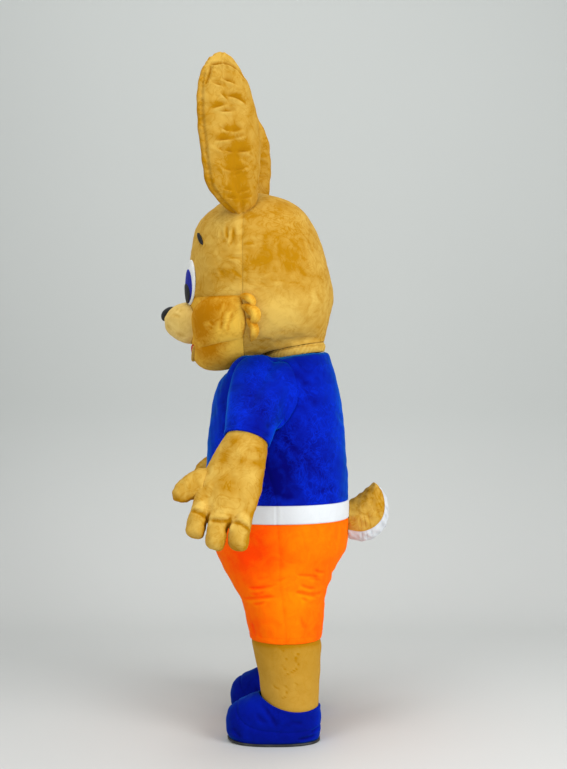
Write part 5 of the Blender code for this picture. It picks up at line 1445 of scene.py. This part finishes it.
# Shoes
# Rounded slip-ons of royal blue plush: a vamp over the toes and round the ankle, a band below it
# sewn along a sunken seam, and a thin black rubber sole that turns up at the toe.
ROYAL = plush(
    "blue_shoe_plush", (0.0, 0.0001, 0.10), (0.0, 0.008, 0.33), 0.30, (0.0, 0.30, 1.0),
    patch=1.3, vein=0.10, stroke=0.15, bump=0.0008,
)
SHOE = table(
    "front_y front_h back_y back_h half_width side_h squareness centre_x",
    (-0.0865, 0.1680, 0.1312, 0.1265, 0.0998, 0.1255, 2.0, 0.1760),
    (-0.1050, 0.1650, 0.1325, 0.1170, 0.1004, 0.1160, 2.0, 0.1765),
    (-0.1400, 0.1510, 0.1335, 0.1060, 0.1000, 0.1040, 2.1, 0.1770),
    (-0.1760, 0.1310, 0.1340, 0.0940, 0.0998, 0.0900, 2.2, 0.1770),
    (-0.1990, 0.1040, 0.1345, 0.0780, 0.0992, 0.0720, 2.3, 0.1770),
    (-0.2070, 0.0700, 0.1345, 0.0540, 0.0985, 0.0500, 2.4, 0.1770),
    (-0.2060, 0.0380, 0.1330, 0.0300, 0.0970, 0.0280, 2.4, 0.1770),
    (-0.1990, 0.0160, 0.1290, 0.0094, 0.0930, 0.0094, 2.4, 0.1770),
)
SHOE_WALL = 0.005
SHOE_SEAM = 0.0030
SHOE_MIDDLE_X = 0.177
SHOE_COLUMNS = 132
SOLE_THICKNESS = 0.009
TOE_SPRING = 0.0066
SHOE_FOLDS = table(
    FOLD_COLUMNS,
    (-0.080, 0.148, -0.022, 0.070, 0.0034, 0.007, -0.006),
    (-0.098, 0.120, -0.060, 0.086, 0.0022, 0.007, 0.003),
    (0.050, 0.026, 0.118, 0.034, 0.0040, 0.005, 0.002),
    (0.095, 0.042, 0.126, 0.058, 0.0030, 0.005, 0.002),
    (-0.180, 0.060, -0.150, 0.030, 0.0020, 0.007, 0.002),
    (0.020, 0.090, 0.070, 0.082, 0.0016, 0.006, 0.0),
)


def shoe_seam_row(turn):
    """The row of the seam between vamp and band: low round the sides, high over the toe."""
    return 4.9 - 2.2 * ((1 + np.cos(np.radians(turn))) / 2) ** 5


def sole_lift(y):
    """How far the toe turns up from the floor: as the square of the way to the tip."""
    return TOE_SPRING * np.clip((-0.110 - y) / 0.090, 0, 1) ** 2


turn = (np.arange(SHOE_COLUMNS) * 360 / SHOE_COLUMNS)[None]
for hand_side, side in SIDES:
    for name, start, end, steps, border, area in (
        ("vamp", 0 * turn, shoe_seam_row(turn), 44, "bottom", 0.067),
        ("band", shoe_seam_row(turn), 7 + 0 * turn, 34, "top bottom", 0.056),
    ):
        row = start + (end - start) * np.linspace(0, 1, steps)[:, None]
        turns = np.broadcast_to(turn, row.shape)
        plain, out = ring_point(SHOE, row, turns), ring_normal(SHOE, row, turns)
        x, y, height = plain[..., 0] - SHOE_MIDDLE_X, plain[..., 1], plain[..., 2] - FLOOR
        trough = folds(SHOE_FOLDS, y, height) * np.clip(x / 0.03 + 0.3, 0, 1)
        trough += folds(SHOE_FOLDS, y + 0.012, height + 0.006) * np.clip(-x / 0.03 - 0.3, 0, 1)
        dip = seam(from_border(plain, border), SHOE_SEAM, 0.0050)
        lift = swells(plain, 0.09, 0.0012) * np.clip(from_border(plain, "top bottom") / 0.02, 0, 1)
        lift = lift - trough - dip
        if name == "vamp":
            far = from_border(plain, "top")
            lift = lift - rolled(far, 0.0024) + 0.0016 * bell(far - 0.006, 0.004)
        # Painted shade in the creases and the seam, lighter on the ridges.
        crease = np.clip(trough / 0.005, -0.7, 0.6) + 0.1 * dip / SHOE_SEAM
        skins = [plain + out * lift[..., None], plain - out * SHOE_WALL]
        if name == "band":
            for skin in skins:
                floor = SOLE_THICKNESS + 0.0004 + sole_lift(skin[..., 1]) + FLOOR
                skin[..., 2] = np.maximum(skin[..., 2], floor)
                skin[-1, :, 2] = floor[-1]
        # Painted sheen: lighter on top of the toe; the heel is lighter too.
        nap = 0.25 * bell(height - 0.150, 0.03) * (y < -0.06) + 0.35 * bell(y - 0.128, 0.02)
        marks = {"crease": crease, "nap": nap}
        piece = cloth(f"shoe_{name}_{hand_side}", *skins, ROYAL, closed=True, side=side, **marks)
        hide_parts(f"shoe_{name}_{hand_side}")
        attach(piece, "root")

SOLE_RUBBER, tree, shader = new_material("sole_rubber")
place = add_node(tree, "ShaderNodeTexCoord").outputs["Object"]
scuffs, pits = noise(tree, place, 26.0, 5.0), noise(tree, place, 700.0, 2.0)
rubber_looks = {
    "Base Color": two_tones(tree, scuffs, (0.006, 0.006, 0.007), (0.035, 0.034, 0.033), 0.45, 0.72),
    "Normal": relief(tree, pits, 0.35, 0.0004),
    "Roughness": 0.48,
}
feed(tree, shader, rubber_looks)


def sole_profile(part, turn):
    """The sole's rim: out from the middle of its top, round a soft edge and in under the foot.

    part runs 0 to 1 on top, 1 to 2 round the edge and 2 to 3 below; the edge is half an ellipse.
    """
    row = np.full(turn.shape, len(SHOE["front_y"]) - 1.0)
    outline = (ring_point(SHOE, row, turn) + ring_normal(SHOE, row, turn) * 0.003)[..., :2]
    top, edge, under = (np.clip(part - k, 0, 1) for k in range(3))
    middle = np.array([SHOE_MIDDLE_X, -0.03])
    reach = np.where(part < 1, top, np.where(part < 2, 1, 1 - under))
    reach = reach - 0.022 * (part <= 1) * top - 0.022 * (part >= 2) * (1 - under)
    soft = 0.0022 * np.sin(np.pi * edge) - 0.0026
    xy = middle + (outline - middle) * reach[..., None] + unit(outline - middle) * soft[..., None]
    height = SOLE_THICKNESS * np.where(part < 1, 1, np.where(part < 2, (1 + np.cos(np.pi * edge)) / 2, 0))
    tread = 0.0008 * (part > 2) * (np.sin(xy[..., 1] * 2 * np.pi / 0.012) > 0.3)
    return np.concatenate([xy, (height + tread + sole_lift(xy[..., 1]) + FLOOR)[..., None]], -1)


part = np.concatenate([np.linspace(0, 1, 10), np.linspace(1, 2, 9)[1:], np.linspace(2, 3, 26)[1:]])
part, turn = all_round(part, SHOE_COLUMNS)
for name, side in SIDES:
    piece = cloth(f"sole_{name}", sole_profile(part, turn), None, SOLE_RUBBER, closed=True, side=side)
    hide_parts(f"sole_{name}")
    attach(piece, "root")

# Gloves
# Big soft gloves with three fingers and a thumb, of short tan plush on foam: a back and a palm sewn
# along the hand's edge and round each finger, and a thumb set into the side. Worn inside the sleeve.
PALM = table(
    "along rear fore half_thickness fingers flatness",
    (-0.016, -0.0715, 0.0715, 0.0715, 0.0, 1.00),
    (0.003, -0.0735, 0.0735, 0.0735, 0.0, 1.00),
    (0.045, -0.0830, 0.0880, 0.0730, 0.0, 0.95),
    (0.100, -0.0880, 0.1000, 0.0630, 0.01, 0.90),
    (0.160, -0.0930, 0.1120, 0.0530, 0.03, 0.80),
    (0.235, -0.0905, 0.1180, 0.0450, 0.12, 0.75),
    (0.286, -0.0910, 0.1200, 0.0405, 0.42, 0.75),
    (0.320, -0.0925, 0.1220, 0.0370, 1.0, 0.75),
)
FINGERS = table(
    "rear fore tip_along tip_across half_thickness",
    (-0.0925, -0.0190, 0.388, -0.064, 0.034),
    (-0.0190, 0.0540, 0.404, 0.009, 0.036),
    (0.0540, 0.1220, 0.381, 0.083, 0.034),
)
FINGER_LINES = table(
    "part width thickness",
    (0.32, 0.985, 1.02),
    (0.66, 0.94, 0.92),
    (0.89, 0.76, 0.64),
    (1.00, 0.36, 0.00),
)
FINGER_COLUMNS = 4
FINGER_FLATNESS = 0.7
THUMB = table(
    "along across half_length half_thickness turned",
    (0.187, 0.098, 0.058, 0.033, 0.00),
    (0.198, 0.128, 0.052, 0.034, 0.40),
    (0.222, 0.152, 0.042, 0.032, 0.85),
    (0.243, 0.170, 0.034, 0.027, 1.00),
    (0.257, 0.183, 0.020, 0.016, 1.00),
)
THUMB_TIP = (0.263, 0.1895)
THUMB_WAY = np.array([0.64, 0.77])
THUMB_CORNERS = 12
THUMB_ROOM = 0.0004
CAGE_LEVELS = 3
GLOVE_WALL = 0.004
GLOVE_SEAM = 0.0024
GLOVE_SEAM_WIDTH = 0.0036
GLOVE_FOLDS = table(
    FOLD_COLUMNS,
    (-0.092, 0.318, -0.026, 0.304, 0.0080, 0.0060, 0.004),
    (-0.080, 0.297, -0.036, 0.284, -0.0034, 0.0150, 0.004),
    (-0.060, 0.300, -0.030, 0.286, 0.0024, 0.0060, 0.003),
    (-0.014, 0.306, 0.048, 0.318, 0.0082, 0.0056, -0.004),
    (-0.002, 0.286, 0.036, 0.295, -0.0034, 0.0150, -0.003),
    (0.004, 0.290, 0.030, 0.296, 0.0022, 0.0060, 0.002),
    (0.058, 0.312, 0.118, 0.300, 0.0080, 0.0060, 0.004),
    (0.070, 0.292, 0.106, 0.282, -0.0034, 0.0150, 0.004),
    (0.072, 0.292, 0.104, 0.280, 0.0026, 0.0060, 0.003),
    (-0.019, 0.345, -0.019, 0.290, 0.0060, 0.0050, 0.000),
    (0.054, 0.345, 0.054, 0.292, 0.0060, 0.0050, 0.000),
    (0.085, 0.230, 0.108, 0.200, 0.0020, 0.0080, 0.004),
    (0.090, 0.170, 0.104, 0.150, 0.0016, 0.0070, 0.002),
    (-0.080, 0.100, -0.040, 0.090, 0.0014, 0.0090, 0.004),
)
GLOVE_SPOTS = table(
    SPOT_COLUMNS,
    (0.036, 0.040, 0.026, 0.022, -0.50),
    (0.056, 0.100, 0.022, 0.030, -0.50),
    (-0.006, 0.100, 0.014, 0.018, -0.40),
    (0.020, 0.190, 0.046, 0.034, -0.46),
    (0.086, 0.232, 0.016, 0.022, -0.36),
    (-0.050, 0.150, 0.020, 0.050, 0.24),
    (0.045, 0.262, 0.030, 0.018, 0.22),
    (-0.040, 0.262, 0.024, 0.020, 0.20),
)
PALM_FOLDS = table(
    FOLD_COLUMNS,
    (-0.080, 0.290, -0.030, 0.284, 0.0032, 0.007, 0.002),
    (-0.012, 0.292, 0.046, 0.294, 0.0032, 0.007, -0.002),
    (0.060, 0.286, 0.112, 0.292, 0.0032, 0.007, 0.002),
    (-0.070, 0.180, 0.060, 0.150, 0.0030, 0.011, 0.010),
    (0.010, 0.080, 0.080, 0.140, 0.0028, 0.010, -0.008),
    (-0.040, 0.050, 0.050, 0.045, 0.0022, 0.008, 0.003),
)


def hand(own):
    """A place on the left hand: along the arm from the cuff, across to the thumb, out from its back."""
    return CUFF_CENTRE + own[..., :1] * ARM + own[..., 1:2] * HAND_ACROSS + own[..., 2:] * HAND_OUT


def section(spot, rear, fore, half_thickness, flatness):
    """A half oval between two edges; spot runs from -1 at the little finger's side to 1."""
    across = (rear + fore) / 2 + (fore - rear) / 2 * np.sin(np.pi * spot / 2)
    return across, half_thickness * np.maximum(np.cos(np.pi * spot / 2), 0) ** flatness


def strip(before, after):
    """The faces between two lines of corners."""
    return list(zip(before[:-1], after[:-1], after[1:], before[1:]))


def hand_cage():
    """Corners and faces of the whole hand: a back built line by line, and the palm as its mirror."""
    columns = 3 * FINGER_COLUMNS + 1
    spot = np.linspace(-1, 1, columns)
    finger_spot = np.linspace(-1, 1, FINGER_COLUMNS + 1)
    own = np.append(np.tile(finger_spot[:-1], 3), 1.0)
    finger = np.minimum(np.arange(columns) // FINGER_COLUMNS, 2)
    points, faces, before = [], [], None
    for along, rear, fore, thick, share, flat in zip(*PALM.values()):
        whole = section(spot, rear, fore, thick, flat)
        scale = (fore - rear) / (FINGERS["fore"][-1] - FINGERS["rear"][0])
        shift = (fore + rear) / 2 - scale * (FINGERS["fore"][-1] + FINGERS["rear"][0]) / 2
        own_rear, own_fore = (FINGERS[edge][finger] * scale + shift for edge in ("rear", "fore"))
        apart = section(own, own_rear, own_fore, thick, FINGER_FLATNESS)
        across, out = ((1 - share) * whole[k] + share * apart[k] for k in (0, 1))
        after = list(range(len(points), len(points) + columns))
        faces += strip(before, after) if before else []
        points += list(zip([along] * columns, across, out))
        before = after
    knuckles = before
    for number, (rear, fore, tip_along, tip_across, thick) in enumerate(zip(*FINGERS.values())):
        first = number * FINGER_COLUMNS
        before = knuckles[first : first + FINGER_COLUMNS + 1]
        for part, width, thickness in zip(*FINGER_LINES.values()):
            middle = (rear + fore) / 2 * (1 - part) + tip_across * part
            half = (fore - rear) / 2 * width
            edges = middle - half, middle + half
            line = section(finger_spot, *edges, thick * thickness, FINGER_FLATNESS)
            along = PALM["along"][-1] + (tip_along - PALM["along"][-1]) * part
            after = list(range(len(points), len(points) + FINGER_COLUMNS + 1))
            faces += strip(before, after)
            points += list(zip([along] * (FINGER_COLUMNS + 1), *line))
            before = after
    points = np.array(points)
    count = len(points)
    points = np.concatenate([points, points * (1, 1, -1)])
    return points, faces + [tuple(corner + count for corner in face[::-1]) for face in faces]


def thumb_cage():
    """Corners and faces of the thumb: rings that turn from lying across the hand to its own way."""
    angle = (np.arange(THUMB_CORNERS) + 0.5) * 2 * np.pi / THUMB_CORNERS
    points = []
    for along, across, half_length, half_thickness, turned in zip(*THUMB.values()):
        way = unit(np.array([0, 1.0]) * (1 - turned) + THUMB_WAY * turned)
        beside = half_length * np.cos(angle)
        ring = along + way[1] * beside, across - way[0] * beside, half_thickness * np.sin(angle)
        points.append(np.stack(ring, -1))
    rings = len(points)
    points = np.concatenate([*points, [(*THUMB_TIP, 0)]])
    around = [*range(THUMB_CORNERS), 0]
    lines = [[ring * THUMB_CORNERS + k for k in around] for ring in range(rings)]
    faces = [(a, b, d, c) for one, two in zip(lines, lines[1:]) for a, c, d, b in strip(one, two)]
    tips = [(a, b, rings * THUMB_CORNERS) for a, b in zip(lines[-1], lines[-1][1:])]
    return points, faces + tips


def smooth_through(points, faces, levels, rounds=2):
    """A finely divided smooth surface that passes through a cage's corners."""
    mesh = bpy.data.meshes.new("cage")
    mesh.from_pydata([tuple(point) for point in points], [], faces)
    weld(mesh)
    cage = placed("cage", mesh)
    divide = cage.modifiers.new("divide", "SUBSURF")
    start = np.array([vertex.co for vertex in mesh.vertices])
    for k in range(rounds + 1):
        divide.levels = divide.render_levels = 1 if k < rounds else levels
        bpy.context.view_layer.update()
        graph = bpy.context.evaluated_depsgraph_get()
        fine = bpy.data.meshes.new_from_object(cage.evaluated_get(graph), depsgraph=graph)
        if k < rounds:
            now = np.array([vertex.co for vertex in mesh.vertices])
            miss = start - np.array([vertex.co for vertex in fine.vertices[: len(start)]])
            mesh.vertices.foreach_set("co", (now + miss).astype(np.float32).ravel())
            mesh.update()
    own = np.array([vertex.co for vertex in fine.vertices])
    quads = np.array([polygon.vertices[:] for polygon in fine.polygons])
    bpy.data.objects.remove(cage)
    return own, quads


def outward(points, quads):
    """The faces turned to look outwards, and each point's way out from the faces round it."""
    total = np.zeros_like(points)
    across = np.cross(points[quads[:, 2]] - points[quads[:, 0]], points[quads[:, 3]] - points[quads[:, 1]])
    for k in range(4):
        np.add.at(total, quads[:, k], across)
    away = unit(total)
    inside_out = ((points - points.mean(axis=0)) * away).sum() < 0
    return (quads[:, ::-1], -away) if inside_out else (quads, away)


def shell(name, outer, inner, quads, side, crease, nap):
    """A glove piece: an outer and an inner skin on the same faces, with a rim along the open edge."""
    count = len(outer)
    ends = np.concatenate([quads[:, [k, (k + 1) % 4]] for k in range(4)])
    key = np.sort(ends, axis=1) @ [count, 1]
    _, first, uses = np.unique(key, return_index=True, return_counts=True)
    rim = ends[first[uses == 1]]
    rims = np.stack([rim[:, 1], rim[:, 0], rim[:, 0] + count, rim[:, 1] + count], -1)
    whole = np.concatenate([quads, quads[:, ::-1] + count, rims])
    if side == -1:
        whole = whole[:, ::-1]
    points = np.concatenate([hand(outer), hand(inner)]) * (side, 1, 1)
    mesh = bpy.data.meshes.new(name)
    mesh.from_pydata(points.tolist(), [], whole.tolist())
    mark(mesh, count, crease=crease, nap=nap)
    mesh.shade_smooth()
    mesh.materials.append(TAN)
    return placed(name, mesh)


def side_seam(out, ripple):
    """The sunken seam round the hand's edge, and the tucks of cloth on both sides of it."""
    return GLOVE_SEAM * bell(out, GLOVE_SEAM_WIDTH), bell(np.abs(out) - 0.010, 0.007) * (0.5 + 0.5 * ripple)


own, quads = smooth_through(*hand_cage(), CAGE_LEVELS)
quads, away = outward(own, quads)
along, across, out = own.T
on_back, on_palm = np.clip(out / 0.012, 0, 1), np.clip(-out / 0.012, 0, 1)
trough = folds(GLOVE_FOLDS, across, along) * on_back + folds(PALM_FOLDS, across, along) * on_palm
dip, tucks = side_seam(out, np.sin(along * 190 + 2.2 * np.sin(along * 57) + across * 30))
trough = trough + 0.0010 * tucks + dip * np.clip((along - 0.02) / 0.02, 0, 1)
lift = swells(own, 0.11, 0.0014) + swells(own, 0.045, 0.0005) - trough
# Painted shade in the creases, the tucks and the edge seam, lighter on the ridges.
glove_crease = np.clip(trough / 0.0036, -0.5, 1)
# Painted shade on the sides turned to the little finger's edge, and painted light on the back of the hand,
# added to the spots.
glove_nap_and_painted_light = -0.45 * np.clip(-away[:, 1] * 1.8 - 0.7, 0, 1) + 0.12 * np.clip(away[:, 2], 0, 1)
glove_nap_and_painted_light = glove_nap_and_painted_light + nap_and_painted_light(GLOVE_SPOTS, across, along) * on_back
hand_outer = own + away * lift[:, None]
hand_inner = own - away * (GLOVE_WALL + np.maximum(trough - 0.001, 0))[:, None]

thumb_own, thumb_quads = smooth_through(*thumb_cage(), CAGE_LEVELS)
thumb_quads, thumb_away = outward(thumb_own, thumb_quads)
along, across, out = thumb_own.T
dip, tucks = side_seam(out, np.sin(along * 260 + 2 * np.sin(across * 90)))
trough = dip + 0.0012 * tucks
lift = swells(thumb_own, 0.05, 0.0012) - trough
# Painted shade in the edge seam and its tucks.
thumb_crease = trough / 0.0028
# Painted shade on the thumb's underside, where it faces down the arm.
thumb_underside_shade = -0.45 * np.clip(thumb_away[:, 0] * 1.8 - 0.7, 0, 1)
thumb_outer = thumb_own + thumb_away * lift[:, None]
thumb_inner = thumb_own - thumb_away * GLOVE_WALL


def hand_form(side):
    """The hand as a closed solid with a little room round it, to seat the thumb against."""
    roomy = hand_outer + away * THUMB_ROOM
    form = shell("hand_form", roomy, hand_inner, quads, side, glove_crease, glove_nap_and_painted_light)
    work = bmesh.new()
    work.from_mesh(form.data)
    bmesh.ops.delete(work, geom=[v for v in work.verts if v.index >= len(own)], context="VERTS")
    bmesh.ops.holes_fill(work, edges=[e for e in work.edges if e.is_boundary], sides=0)
    work.to_mesh(form.data)
    work.free()
    return form


for name, side in SIDES:
    piece = shell(f"glove_{name}", hand_outer, hand_inner, quads, side, glove_crease, glove_nap_and_painted_light)
    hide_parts(f"glove_back_{name}", f"glove_palm_{name}")
    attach(piece, "root")
    form = hand_form(side)
    skins = thumb_outer, thumb_inner, thumb_quads
    piece = shell(f"glove_thumb_{name}", *skins, side, thumb_crease, thumb_underside_shade)
    seated(piece, form)
    piece.data.shade_smooth()
    bpy.data.objects.remove(form)
    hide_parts(f"glove_thumb_{name}")
    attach(piece, "root")

# Tail
# A stuffed tail that curls up from the back of the shorts: tan plush above, white plush below,
# sewn together along its edge with small puckers.
TAIL = table(
    "inner_y inner_h outer_y outer_h half_width",
    (0.215, 0.815, 0.215, 0.716, 0.050),
    (0.247, 0.836, 0.247, 0.7015, 0.056),
    (0.270, 0.851, 0.290, 0.6906, 0.066),
    (0.290, 0.864, 0.3226, 0.6955, 0.070),
    (0.305, 0.876, 0.3572, 0.7146, 0.070),
    (0.318, 0.888, 0.3858, 0.7530, 0.065),
    (0.329, 0.898, 0.3926, 0.8086, 0.053),
    (0.3375, 0.905, 0.3779, 0.8680, 0.031),
    (0.3410, 0.9085, 0.3480, 0.9000, 0.008),
)
TAIL_SEAM_TURN = 120.0
TAIL_TUCK = 0.0022
TAIL_STEP = 0.0016
HIPS = table(
    "front_y front_h back_y back_h half_width side_h squareness",
    (-0.2890, 0.8600, 0.2450, 0.8600, 0.2820, 0.8600, 2.2),
    (-0.2890, 0.8490, 0.2450, 0.8490, 0.2820, 0.8490, 2.2),
    (-0.2895, 0.8160, 0.2455, 0.8160, 0.2825, 0.8160, 2.2),
    (-0.2870, 0.7830, 0.2450, 0.7830, 0.2810, 0.7830, 2.2),
    (-0.2845, 0.7800, 0.2432, 0.7800, 0.2790, 0.7800, 2.2),
    (-0.2810, 0.7400, 0.2420, 0.7400, 0.2790, 0.7400, 2.2),
    (-0.2700, 0.7000, 0.2395, 0.7000, 0.2780, 0.7000, 2.2),
    (-0.2530, 0.6600, 0.2290, 0.6600, 0.2760, 0.6600, 2.2),
)


def tail_point(row, turn):
    """A point of the tail; turn runs from its upper, inner line round to its lower, outer one."""
    at = {name: read(column, row) for name, column in TAIL.items()}
    turn = np.radians(turn)
    part = (1 - np.cos(turn)) / 2
    y = at["inner_y"] + (at["outer_y"] - at["inner_y"]) * part
    z = at["inner_h"] + (at["outer_h"] - at["inner_h"]) * part + FLOOR
    return np.stack([at["half_width"] * np.sin(turn), y, z], -1)


hips_form = solid_form("hips_form", HIPS, np.linspace(0, 7, 40), 0.0008)
row = np.linspace(0, 8, 120)[:, None]
for name, start, end, steps, material, slot in (
    ("tail_top", -TAIL_SEAM_TURN, TAIL_SEAM_TURN, 90, TAN, "tan_plush"),
    ("tail_underside", TAIL_SEAM_TURN, 360 - TAIL_SEAM_TURN, 60, WHITE, "white_plush"),
):
    rows, turn = np.broadcast_arrays(row, np.linspace(start, end, steps)[None])
    plain = tail_point(rows, turn)
    part = np.linspace(0, 1, steps)[None]
    chord = plain[:, :1] * (1 - part[..., None]) + plain[:, -1:] * part[..., None]
    away = unit(plain.mean(axis=1, keepdims=True) - chord.mean(axis=1, keepdims=True))
    out = grid_normal(plain, closed=False)
    out = out * np.sign((out * away).sum(axis=-1).mean())
    far = np.minimum(part, 1 - part) * steps * TAIL_STEP
    tucks = np.clip(np.sin(rows * 7.5 + 2.0 * np.sin(rows * 2.3)), 0, 1) ** 1.5
    trough = TAIL_TUCK * tucks * bell(far - 0.012, 0.012)
    closing = np.clip(np.minimum(part, 1 - part) * 12, 0, 1)
    lift = (0.002 + swells(plain, 0.07, 0.0020) - trough) * closing * np.clip((8 - rows) / 0.4, 0, 1)
    # Painted shade in the tucks and along the edge seam.
    crease = 0.5 * np.clip(trough / TAIL_TUCK, 0, 1) + 0.4 * (1 - np.clip(far / 0.004, 0, 1))
    flat_side = (chord + away * SEAM_GAP)[:, -2:0:-6]
    skin = np.concatenate([plain + out * lift[..., None], flat_side], 1)
    crease = np.concatenate([crease, np.zeros(flat_side.shape[:2])], 1)
    skin, crease = with_ends(skin, (crease,))
    piece = cloth(name, skin[:, ::-1], None, material, closed=True, crease=crease[:, ::-1])
    seated(piece, hips_form, crossed=True)
    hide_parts(name)
    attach(piece, "root")
bpy.data.objects.remove(hips_form)
